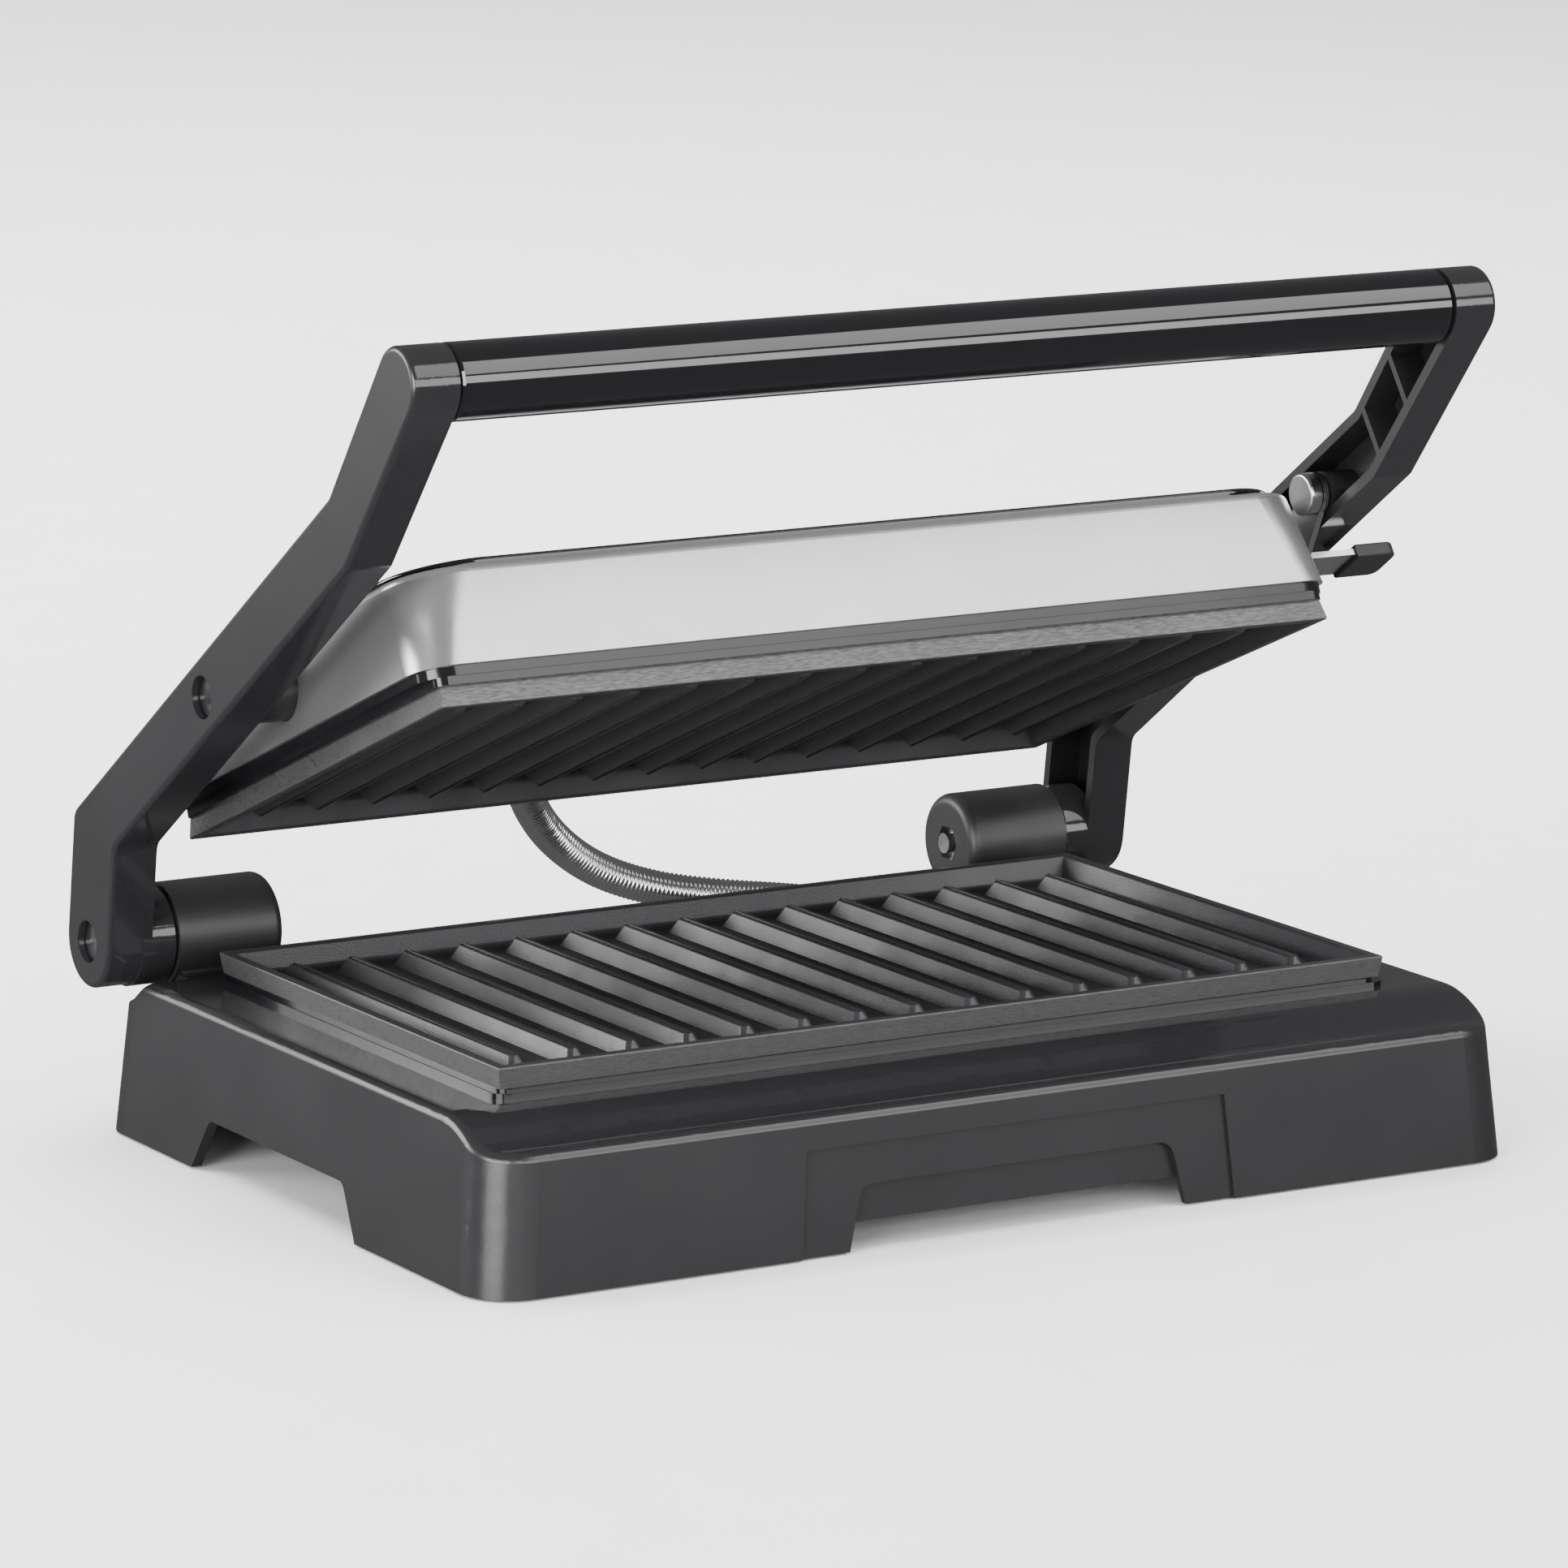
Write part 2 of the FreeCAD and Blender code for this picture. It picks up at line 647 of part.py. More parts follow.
FEET = [(sx * (BASE_HALF - FOOT_IN), y) for sx in (-1, 1)
        for y in (FRONT_Y + FOOT_IN, REAR_Y - FOOT_IN)]
POSTS = [(sx * (HALF_W + POST_OUT), PLATE_Y + sy * POST_SHARE * PLATE_D)
         for sx in (-1, 1) for sy in (-1, 1)]


def bracket_hole():
    """The clearance for one hinge bracket through the deck and the rear wall."""
    fit = BRACKET_FIT
    z0 = DECK_UNDER - fit
    x0 = BARREL_IN - fit
    x1 = BARREL_OUT + fit
    round_part = rod_x(BARREL_R + fit, x0, x1, HINGE_Y, HINGE_Z)
    round_part = round_part.common(box(0, 400, HINGE_Y - 40, HINGE_Y + 40, z0, 99))
    foot = box(BARREL_IN + BRACKET_IN - fit, BARREL_OUT - BRACKET_IN + fit,
               HINGE_Y - BRACKET_FRONT - fit, HINGE_Y, z0, DECK_Z + 9)
    return round_part.fuse(foot)


def base_housing():
    outer = base_block(0, 0)
    rim = edges_where(outer, lambda p: p.z > FLOOR_Z + FRONT_EDGE_H - 0.5
                      and (abs(p.x) > 1 or p.y < FRONT_Y + 4 or p.y > REAR_Y - 6))
    outer = outer.makeFillet(EDGE_R, rim).cut(hub_reliefs(0))
    inner = base_block(BASE_WALL, 2).cut(hub_reliefs(BASE_WALL))
    shell = outer.cut(inner)
    inside = base_block(BASE_WALL / 2, 0)
    columns = [rod_z(FOOT_STEM_R + FOOT_WALL, x, y, FLOOR_Z + FOOT_H - FOOT_PROUD, COVER_Z)
               for x, y in FEET]
    fins = []
    for x, y in FEET:
        out_y = FRONT_Y if y < 0 else REAR_Y
        z0 = FLOOR_Z + FOOT_H - FOOT_PROUD
        fins.append(box(min(x, 1.1 * x), max(x, 1.1 * x), y - 0.9, y + 0.9, z0, COVER_Z))
        fins.append(box(x - 0.9, x + 0.9, min(y, out_y), max(y, out_y), z0, COVER_Z))
    posts = [rod_z(POST_R, x, y, COVER_TOP, DECK_UNDER + 1) for x, y in POSTS]
    backing = prism_y([(-NOTCH_BOTTOM_W / 2 - 3, FLOOR_Z + RECESS_FLOOR),
                       (-NOTCH_BOTTOM_W / 2 - 3, FLOOR_Z + NOTCH_H + 4),
                       (NOTCH_BOTTOM_W / 2 + 3, FLOOR_Z + NOTCH_H + 4),
                       (NOTCH_BOTTOM_W / 2 + 3, FLOOR_Z + RECESS_FLOOR)],
                      FRONT_Y, FRONT_Y + 12)
    backing = backing.common(skin(RECESS_DEPTH - 0.5))
    backing = backing.cut(skin(RECESS_DEPTH + RECESS_WALL))
    extras = [piece.common(inside) for piece in columns + fins + posts + [backing]]
    shell = shell.fuse(extras)
    panel = prism_y([(-PANEL_BOTTOM_W / 2, FLOOR_Z - 1), (-PANEL_TOP_W / 2, FLOOR_Z + PANEL_H),
                     (PANEL_TOP_W / 2, FLOOR_Z + PANEL_H), (PANEL_BOTTOM_W / 2, FLOOR_Z - 1)],
                    FRONT_Y - 5, FRONT_Y + 9)
    recess = notch_prism(FLOOR_Z - 1, FRONT_Y - 5, FRONT_Y + 9)
    through = recess.common(box(-99, 99, FRONT_Y - 9, FRONT_Y + 9, 0, FLOOR_Z + RECESS_FLOOR))
    cuts = [panel.cut(skin(PANEL_DEPTH)), recess.cut(skin(RECESS_DEPTH)), through]
    cuts.append(side_notches())
    cuts.append(centred_block(PLATE_BODY_INSET - PLATE_FIT, PLATE_CORNER_R, COVER_Z, DECK_Z + 5))
    cuts += both_sides([bracket_hole()])
    cuts += [rod_z(FOOT_STEM_R + PLUG_FIT, x, y, 0, FOOT_H + FOOT_STEM_H + 1) for x, y in FEET]
    cuts += [rod_z(PILOT_R, x, y, COVER_Z, COVER_Z + 12) for x, y in POSTS]
    for x in (INLET_X, BASE_GLAND_X):
        cuts.append(rod_y(GLAND_NECK_R + PLUG_FIT, x, REAR_Y - 12, REAR_Y + 9, GLAND_Z))
    return shell.cut(cuts)


def base_bottom_cover():
    gap = BASE_WALL + COVER_FIT + COVER_LIFT * DRAFT + 1.0
    front = FRONT_Y + RECESS_DEPTH + RECESS_WALL + COVER_FIT + (COVER_LIFT + 4) * DRAFT
    cover = rounded_block(BASE_HALF - gap, front, REAR_Y - gap, BASE_CORNER_R - gap, COVER_Z,
                          COVER_TOP)
    corner = FOOT_IN + FOOT_STEM_R + FOOT_WALL + COVER_FIT
    cuts = []
    for x, y in FEET:
        out_x = BASE_HALF - corner
        y0, y1 = (FRONT_Y - 1, FRONT_Y + corner) if y < 0 else (REAR_Y - corner, REAR_Y + 1)
        cut = box(out_x, BASE_HALF + 1, y0, y1, COVER_Z - 1, COVER_TOP + 1)
        cuts.append(cut if x > 0 else mirrored(cut))
    cuts += [rod_z(TAP_R + PLUG_FIT, x, y, COVER_Z - 1, COVER_TOP + 1) for x, y in POSTS]
    slot = box(-16, 16, -1, 1, COVER_Z - 1, COVER_TOP + 1)
    for i in range(5):
        for sy in (-1, 1):
            cuts.append(slot.translated(Vector(0, PLATE_Y + sy * (20 + 6 * i), 0)))
    return cover.cut(cuts)


def rubber_foot(x, y):
    disc = rod_z(FOOT_R, x, y, 0, FOOT_H)
    disc = disc.makeFillet(0.8, edges_where(disc, lambda p: p.z < 0.01))
    stem = rod_z(FOOT_STEM_R, x, y, FOOT_H, FOOT_H + FOOT_STEM_H)
    return fused(disc, stem)


BRACKET_SCREW_XS = (BARREL_IN + 7, BARREL_OUT - 7)


def hinge_barrel():
    """One satin bracket, on the right, with its foot let into the deck."""
    barrel = rod_x(BARREL_R, BARREL_IN, BARREL_OUT, HINGE_Y, HINGE_Z)
    inner_edge = edges_where(barrel, lambda p: abs(p.x - BARREL_IN) < 0.01)
    barrel = barrel.makeFillet(BARREL_EDGE_R, inner_edge)
    barrel = barrel.common(box(0, 400, HINGE_Y - 40, HINGE_Y + 40, DECK_UNDER, 99))
    foot = box(BARREL_IN + BRACKET_IN, BARREL_OUT - BRACKET_IN, HINGE_Y - BRACKET_FRONT,
               HINGE_Y - BRACKET_REAR, DECK_UNDER, HINGE_Z)
    bracket = barrel.fuse(foot)
    pocket = hexagon_x(NUT_AF + 2 * NUT_FIT, BARREL_IN - 1, BARREL_IN + NUT_POCKET, HINGE_Y,
                       HINGE_Z)
    bore = rod_x(HINGE_SCREW_R + NUT_FIT, BARREL_IN, BARREL_OUT + 1, HINGE_Y, HINGE_Z)
    pilots = [rod_z(PILOT_R, x, HINGE_Y - BRACKET_FRONT / 2 - 1, DECK_UNDER - 1, DECK_UNDER + 5)
              for x in BRACKET_SCREW_XS]
    return bracket.cut([pocket, bore] + pilots)


CLAMP_Y0 = HINGE_Y - BRACKET_FRONT - CLAMP_LAP
CLAMP_X0 = BARREL_IN - CLAMP_SIDE_LAP
CLAMP_X1 = BARREL_OUT - BASE_WALL - 1
CLAMP_Y1 = REAR_Y - BASE_WALL - (DECK_UNDER - FLOOR_Z) * DRAFT - CLAMP_REAR_FIT


def hinge_clamp():
    """The steel plate under the deck that the bracket is screwed to."""
    plate = box(CLAMP_X0, CLAMP_X1, CLAMP_Y0, CLAMP_Y1, DECK_UNDER - CLAMP_T, DECK_UNDER)
    holes = [rod_z(TAP_R + PLUG_FIT, x, HINGE_Y - BRACKET_FRONT / 2 - 1,
                   DECK_UNDER - CLAMP_T - 1, DECK_UNDER + 1)
             for x in BRACKET_SCREW_XS]
    return plate.cut(holes)


def clamp_screws():
    y = HINGE_Y - BRACKET_FRONT / 2 - 1
    return [small_screw(x, y, DECK_UNDER - CLAMP_T, CLAMP_T + 4.5, 1)
            for x in BRACKET_SCREW_XS]


def hinge_screw():
    """Socket-head screw from the arm's outer face to the nut inside the barrel."""
    seat = ARM_OUT - COUNTERBORE + SIDE_FIT
    shank = rod_x(HINGE_SCREW_R, BARREL_IN - 1.0, seat, HINGE_Y, HINGE_Z)
    head = rod_x(SCREW_HEAD_R, seat, seat + SCREW_HEAD_H, HINGE_Y, HINGE_Z)
    socket = hexagon_x(SOCKET_AF, seat + SOCKET_UP, seat + SCREW_HEAD_H + 1, HINGE_Y, HINGE_Z)
    return fused(shank, head).cut(socket)


def hinge_nut():
    x0 = BARREL_IN + NUT_POCKET - NUT_H
    nut = hexagon_x(NUT_AF, x0, x0 + NUT_H, HINGE_Y, HINGE_Z)
    return nut.cut(rod_x(HINGE_SCREW_R, x0 - 1, x0 + NUT_H + 1, HINGE_Y, HINGE_Z))


def base_gland(x, bore_r):
    """A gland in the rear wall, with a hexagonal flange outside and a nut inside."""
    wall_out = REAR_Y - (GLAND_Z - FLOOR_Z) * DRAFT + GLAND_R * DRAFT
    wall_in = GLAND_WALL_IN
    flange = rod_y(GLAND_R, x, wall_out, wall_out + GLAND_OUT, GLAND_Z)
    rim = edges_where(flange, lambda p: abs(p.y - wall_out - GLAND_OUT) < 0.01)
    flange = flange.makeFillet(GLAND_EDGE_R, rim)
    neck = rod_y(GLAND_NECK_R, x, wall_in - GLAND_NECK_IN, wall_out, GLAND_Z)
    nut = rod_y(GLAND_R, x, wall_in - GLAND_NUT_H, wall_in, GLAND_Z)
    bore = rod_y(bore_r, x, wall_in - GLAND_NECK_IN - 1, wall_out + GLAND_OUT + 1, GLAND_Z)
    return fused(flange, neck, nut).cut(bore)


def lower_ring():
    """The moulded ring that the lower plate's flange sits on."""
    lip = centred_block(-LIP_PROUD, PLATE_CORNER_R + LIP_PROUD, DECK_Z, DECK_Z + LIP_H)
    neck = centred_block(NECK_INSET, PLATE_CORNER_R, DECK_Z + LIP_H, DECK_Z + LIP_H + NECK_H)
    hole = centred_block(PLATE_BODY_INSET - PLATE_FIT, PLATE_CORNER_R, DECK_Z - 1, RIM_Z)
    return fused(lip, neck).cut(hole)


def terminal_block():
    top = COVER_TOP + BLOCK_H
    body = box(-BLOCK_W / 2, BLOCK_W / 2, BLOCK_Y - BLOCK_D / 2, BLOCK_Y + BLOCK_D / 2,
               COVER_TOP, top)
    screws = [rod_z(BLOCK_SCREW_R, x, BLOCK_Y, top - BLOCK_HOLE, top + 1)
              for x in (-BLOCK_PITCH, 0, BLOCK_PITCH)]
    return body.cut(screws)


def thermal_fuse():
    """A small fuse in a sleeve between two leads, beside the thermostat."""
    z = RIM_Z - PLATE_UNDER - 2.2
    sleeve = rod_x(2.0, 18, 32, PLATE_Y, z)
    leads = [rod_x(0.6, 14, 18, PLATE_Y, z), rod_x(0.6, 32, 36, PLATE_Y, z)]
    return sleeve.fuse(leads)


# ---- arms, drawn with the lid closed --------------------------------------------------

def arm_point(forward, up):
    """Side-view coordinates from the hinge to (y, z)."""
    return HINGE_Y - forward, HINGE_Z + up


def arm_outline(inset, x):
    """One arm's side view, moved in by inset, as a wire at x, and its four bends as (y, z)."""
    rise = math.radians(ARM_RISE_DEG)
    hub = HUB_R - inset
    cap = ARM_TIP_R - inset
    mid = PIVOT_Z - HINGE_Z
    low = mid - ARM_MID_HALF + inset
    high = mid + ARM_MID_HALF - inset
    tip_f = HINGE_Y - HANDLE_Y
    tip_u = HANDLE_Z - HINGE_Z
    under = math.radians(ARM_TIP_DEG - ARM_TIP_TAPER_DEG)
    over = math.radians(ARM_TIP_DEG + ARM_TIP_TAPER_DEG)
    hub_low = (hub * math.sin(rise), -hub * math.cos(rise))
    hub_high = (-hub_low[0], -hub_low[1])
    tip_low = (tip_f + cap * math.sin(under), tip_u - cap * math.cos(under))
    tip_high = (tip_f - cap * math.sin(over), tip_u + cap * math.cos(over))
    bends = [
        (hub_low[0] + (low - hub_low[1]) / math.tan(rise), low),
        (tip_low[0] + (low - tip_low[1]) / math.tan(under), low),
        (tip_high[0] + (high - tip_high[1]) / math.tan(over), high),
        (hub_high[0] + (high - hub_high[1]) / math.tan(rise), high),
    ]
    hub_back = (-hub * math.cos(rise), -hub * math.sin(rise))
    tip_end = (tip_f + cap * math.cos(math.radians(ARM_TIP_DEG)),
               tip_u + cap * math.sin(math.radians(ARM_TIP_DEG)))

    def at(point):
        return Vector(x, *arm_point(*point))

    edges = [
        Part.LineSegment(at(hub_low), at(bends[0])),
        Part.LineSegment(at(bends[0]), at(bends[1])),
        Part.LineSegment(at(bends[1]), at(tip_low)),
        Part.Arc(at(tip_low), at(tip_end), at(tip_high)),
        Part.LineSegment(at(tip_high), at(bends[2])),
        Part.LineSegment(at(bends[2]), at(bends[3])),
        Part.LineSegment(at(bends[3]), at(hub_high)),
        Part.Arc(at(hub_high), at(hub_back), at(hub_low)),
    ]
    return Part.Wire([e.toShape() for e in edges]), [arm_point(*b) for b in bends]


def arm_slab(inset, x0, x1, bend_r):
    wire, bends = arm_outline(inset, x0)
    slab = Part.Face(wire).extrude(Vector(x1 - x0, 0, 0))
    mid_x = (x0 + x1) / 2
    corners = edges_where(slab, lambda p: abs(p.x - mid_x) < 0.01 and any(
        math.hypot(p.y - y, p.z - z) < 0.05 for y, z in bends))
    return slab.makeFillet(bend_r, corners)


def arm():
    """The right arm: an outer skin with a channel inside, bosses, ribs and the handle spigot."""
    solid = arm_slab(0, ARM_IN, ARM_OUT, ARM_BEND_R)
    outer_edges = edges_where(solid, lambda p: abs(p.x - ARM_OUT) < 0.01)
    solid = solid.makeFillet(ARM_BEVEL, outer_edges)
    channel = arm_slab(ARM_WALL, ARM_IN - 1, ARM_OUT - ARM_WEB, ARM_BEND_R)
    keep = [
        rod_x(ARM_BOSS_R, ARM_IN, ARM_OUT - 1, HINGE_Y, HINGE_Z),
        rod_x(ARM_BOSS_R, ARM_IN, ARM_OUT - 1, PLATE_Y, PIVOT_Z),
        rod_x(HANDLE_R - HANDLE_WALL, ARM_IN, ARM_OUT - 1, HANDLE_Y, HANDLE_Z),
        rod_x(LEVER_HEAD_R, ARM_IN, ARM_OUT - 1, LEVER_Y, LEVER_Z),
    ]
    whole = arm_slab(0.5, ARM_IN, ARM_OUT - 1, ARM_BEND_R)
    for y in (PLATE_Y + 52, PLATE_Y + 30, PLATE_Y - 28, PLATE_Y - 84, PLATE_Y - 100):
        rib = box(ARM_IN, ARM_OUT - 1, y - ARM_RIB_T / 2, y + ARM_RIB_T / 2, HINGE_Z, 120)
        keep.append(rib.common(whole))
    solid = solid.cut(channel.cut(keep))
    ring = rod_x(RING_BOSS_R, BARREL_OUT + SIDE_FIT, ARM_IN + ARM_WALL, HINGE_Y, HINGE_Z)
    ring = ring.makeFillet(0.6, edges_where(ring, lambda p: p.x < BARREL_OUT + 1))
    spigot = rod_x(HANDLE_R - HANDLE_WALL - SPIGOT_FIT, ARM_IN - SPIGOT_L, ARM_IN + 1,
                   HANDLE_Y, HANDLE_Z)
    solid = solid.fuse([ring, spigot])
    tip_socket = rod_x(CORE_R + SPIGOT_FIT, ARM_IN - SPIGOT_L - 1, ARM_IN + 4, HANDLE_Y, HANDLE_Z)
    cuts = [tip_socket]
    for y, z, inner in ((HINGE_Y, HINGE_Z, BARREL_OUT), (PLATE_Y, PIVOT_Z, ARM_IN)):
        cuts.append(rod_x(HINGE_SCREW_R + RUNNING_FIT, inner - 1, ARM_OUT + 1, y, z))
        cuts.append(rod_x(SCREW_HEAD_R + HEAD_FIT, ARM_OUT - COUNTERBORE, ARM_OUT + 1, y, z))
    return solid.cut(cuts)


def right_arm():
    """The right arm has the lever's pin hole as well."""
    return arm().cut(rod_x(LEVER_PIN_R, ARM_IN - 1, ARM_IN + 6, LEVER_Y, LEVER_Z))


def handle_tube():
    half = ARM_IN - SEAM
    tube_solid = rod_x(HANDLE_R, -half, half, HANDLE_Y, HANDLE_Z)
    ends = edges_where(tube_solid, lambda p: abs(abs(p.x) - half) < 0.01)
    tube_solid = tube_solid.makeChamfer(SEAM_BEVEL, ends)
    return tube_solid.cut(rod_x(HANDLE_R - HANDLE_WALL, -half - 1, half + 1, HANDLE_Y, HANDLE_Z))


def handle_core():
    half = ARM_IN + 3
    core = rod_x(CORE_R, -half, half, HANDLE_Y, HANDLE_Z)
    return core.cut(rod_x(CORE_R - CORE_WALL, -half - 1, half + 1, HANDLE_Y, HANDLE_Z))


LEVER_X1 = ARM_IN - 1.0
LEVER_X0 = LEVER_X1 - LEVER_T
LEVER_HEAD_X = LEVER_X0 - SIDE_FIT


def lever_pin():
    """A shouldered pin with a wide polished head, pressed into the right arm."""
    head = rod_x(LEVER_HEAD_R, LEVER_HEAD_X - LEVER_HEAD_T, LEVER_HEAD_X, LEVER_Y, LEVER_Z)
    rim = edges_where(head, lambda p: abs(p.x - LEVER_HEAD_X + LEVER_HEAD_T) < 0.01)
    head = head.makeFillet(0.7, rim)
    return fused(head, rod_x(LEVER_PIN_R, LEVER_HEAD_X, ARM_IN + 5, LEVER_Y, LEVER_Z))


def lock_lever():
    """A bent steel strip beside the arm with a tab that reaches out under it."""
    y1 = LEVER_Y + LEVER_TAB_FRONT
    y2 = y1 + LEVER_TAB_L
    z0 = LEVER_Z - LEVER_DROP
    disc = rod_x(LEVER_HEAD_R, LEVER_X0, LEVER_X1, LEVER_Y, LEVER_Z)
    web = prism_x([(LEVER_Y - 4, LEVER_Z - 3), (LEVER_Y + 3, LEVER_Z + 4), (y2, z0 + 4.5),
                   (y2, z0), (y1, z0)], LEVER_X0, LEVER_X1)
    tab = box(LEVER_X0, LEVER_X0 + LEVER_TAB_OUT + LEVER_T, y1, y2, z0, z0 + LEVER_T)
    bore = rod_x(LEVER_PIN_R + RUNNING_FIT, LEVER_X0 - 1, LEVER_X1 + 1, LEVER_Y, LEVER_Z)
    return fused(disc, web, tab).cut(bore)


def lever_grip():
    """The moulded finger grip on the lever's tab."""
    x1 = LEVER_X0 + LEVER_TAB_OUT + LEVER_T + 1.0
    y0 = LEVER_Y + LEVER_TAB_FRONT - GRIP_LAP
    y1 = y0 + LEVER_TAB_L + 2 * GRIP_LAP
    zc = LEVER_Z - LEVER_DROP + LEVER_T / 2
    grip = box(x1 - GRIP_L, x1, y0, y1, zc - GRIP_T / 2, zc + GRIP_T / 2)
    corners = edges_where(grip, lambda p: abs(p.x - x1) < 0.01 and abs(p.z - zc) < 0.01)
    grip = grip.makeFillet(GRIP_CORNER_R, corners)
    rims = edges_where(grip, lambda p: abs(abs(p.z - zc) - GRIP_T / 2) < 0.01)
    return grip.makeFillet(0.6, rims).cut(lock_lever())


# ---- lid, drawn closed ----------------------------------------------------------------

def lid_block(shrink, z0, z1):
    """The cover's outer form, or its inside when shrink is the wall."""
    w = LID_HALF - shrink
    deep = LID_DEEP - shrink
    return tapered_block(w, PLATE_Y - deep, PLATE_Y + deep, LID_CORNER_R - shrink,
                         LID_TOP_CORNER_R - shrink, z0, z1, LID_DRAFT)


LID_LEAN = LID_DRAFT / (LID_TOP_H - LID_BOTTOM_H)
LID_GLAND_Y = PLATE_Y + LID_DEEP - LID_LEAN * (LID_GLAND_H - LID_BOTTOM_H)


def upper_cover():
    outer = lid_block(0, LID_Z0, LID_Z1)
    top = edges_where(outer, lambda p: abs(p.z - LID_Z1) < 0.01)
    outer = outer.makeFillet(LID_EDGE_R, top)
    inner = lid_block(LID_WALL, LID_Z0 - 0.001, LID_Z1 - LID_WALL)
    shell = outer.cut(inner)
    hole = rod_x(PIVOT_BOSS_R + PIVOT_BOSS_FIT, -200, 200, PLATE_Y, PIVOT_Z)
    gland = rod_y(GLAND_NECK_R + PLUG_FIT, LID_GLAND_X, PLATE_Y + 40, 200, LID_RIM_Z + LID_GLAND_H)
    lamps = [rod_z(LENS_R + PLUG_FIT, x, LENS_Y, LID_Z1 - 5, LID_Z1 + 5) for x in LENS_XS]
    return shell.cut([hole, gland] + lamps)


LENS_XS = (-LENS_PITCH / 2, LENS_PITCH / 2)
LENS_Y = PLATE_Y - LID_DEEP + LID_DRAFT + LENS_FROM_FRONT
PANEL_UNDER = LID_Z1 + TOP_PANEL_NECK
PANEL_TOP = PANEL_UNDER + TOP_PANEL_H - TOP_PANEL_NECK


def upper_top_panel():
    w = LID_HALF - LID_DRAFT - TOP_PANEL_SET
    y0 = PLATE_Y - LID_DEEP + LID_DRAFT + TOP_PANEL_SET
    y1 = PLATE_Y + LID_DEEP - LID_DRAFT - TOP_PANEL_REAR
    r = TOP_PANEL_CORNER_R
    slab = rounded_block(w, y0, y1, r, PANEL_UNDER, PANEL_TOP)
    slab = slab.makeFillet(0.8, edges_where(slab, lambda p: abs(p.z - PANEL_TOP) < 0.01))
    neck = rounded_block(w - 1, y0 + 1, y1 - 1, r - 1, LID_Z1, PANEL_UNDER)
    lamps = [rod_z(LENS_R + PLUG_FIT, x, LENS_Y, LID_Z1 - 1, PANEL_TOP + 1) for x in LENS_XS]
    return fused(slab, neck).cut(lamps)


def indicator_lens(x):
    stem = rod_z(LENS_R, x, LENS_Y, LID_Z1 - LID_WALL - 2, PANEL_TOP + LENS_PROUD)
    stem = stem.makeFillet(0.5, edges_where(stem, lambda p: abs(p.z - PANEL_TOP - LENS_PROUD) < 0.01))
    collar = rod_z(LENS_R + 1.2, x, LENS_Y, LID_Z1 - LID_WALL - 1.2, LID_Z1 - LID_WALL)
    pocket = rod_z(LENS_R - 0.9, x, LENS_Y, LID_Z1 - LID_WALL - 3, LID_Z1 - 0.5)
    return fused(stem, collar).cut(pocket)


def indicator_lamp(x):
    z1 = LID_Z1 - LID_WALL - 2.2
    return rod_z(1.8, x, LENS_Y, z1 - LAMP_L, z1)


def upper_frame():
    """The moulded ring between the upper plate and the cover, with posts for the screws."""
    z0 = LID_RIM_Z + PLATE_FLANGE
    z1 = z0 + LID_NECK_H
    z2 = z1 + LID_LIP_H
    neck = centred_block(-0.3, PLATE_CORNER_R, z0, z1)
    out = LID_LIP_PROUD
    deep = LID_DEEP - (LID_OVERHANG - LID_LIP_PROUD)
    lip = rounded_block(HALF_W + out, PLATE_Y - deep, PLATE_Y + deep, LID_CORNER_R - 1, z1, z2)
    gap = LID_WALL + SKIRT_FIT
    inner = gap + SKIRT_T
    skirt_deep = LID_DEEP - gap
    skirt = rounded_block(LID_HALF - gap, PLATE_Y - skirt_deep, PLATE_Y + skirt_deep,
                          SKIRT_CORNER_R, z2, z2 + SKIRT_H)
    hollow = rounded_block(LID_HALF - inner, PLATE_Y - LID_DEEP + inner,
                           PLATE_Y + LID_DEEP - inner, SKIRT_CORNER_R - SKIRT_T, z2, z2 + SKIRT_H)
    hole = centred_block(PLATE_BODY_INSET - PLATE_FIT, PLATE_CORNER_R, z0 - 1, z2 + 1)
    frame = neck.fuse([lip, skirt.cut(hollow)]).cut(hole)
    lugs = []
    for x in (-80.0, 0.0, 80.0):
        for y in (PLATE_Y - skirt_deep - LUG_PROUD, PLATE_Y + skirt_deep):
            lugs.append(box(x - 6, x + 6, y, y + LUG_PROUD, z2 + SKIRT_H - 1.5, z2 + SKIRT_H - 0.5))
    gland = rod_y(GLAND_R + 0.5, LID_GLAND_X, PLATE_Y, PLATE_Y + 99, LID_RIM_Z + LID_GLAND_H)
    return frame.fuse(lugs).cut(gland)


PIVOT_SCREW_END = HALF_W - SHIELD_INSET + 0.5


def pivot_boss():
    """The right pivot boss: a foot on the housing frame and a journal through the cover."""
    x1 = LID_HALF - LID_WALL - SKIRT_FIT - SKIRT_T
    foot_z = LID_RIM_Z + PLATE_FLANGE + LID_NECK_H + LID_LIP_H
    foot = box(BOSS_FOOT_IN, x1, PLATE_Y - BOSS_FOOT_HALF, PLATE_Y + BOSS_FOOT_HALF, foot_z,
               PIVOT_Z + PIVOT_BOSS_R)
    journal = rod_x(PIVOT_BOSS_R, x1, ARM_IN - SIDE_FIT, PLATE_Y, PIVOT_Z)
    socket = rod_x(PIVOT_BOSS_R - 1, PIVOT_SCREW_END, BOSS_FOOT_IN, PLATE_Y, PIVOT_Z)
    bore = rod_x(HINGE_SCREW_R, PIVOT_SCREW_END - 1, ARM_IN, PLATE_Y, PIVOT_Z)
    return fused(foot, journal, socket).cut(bore)


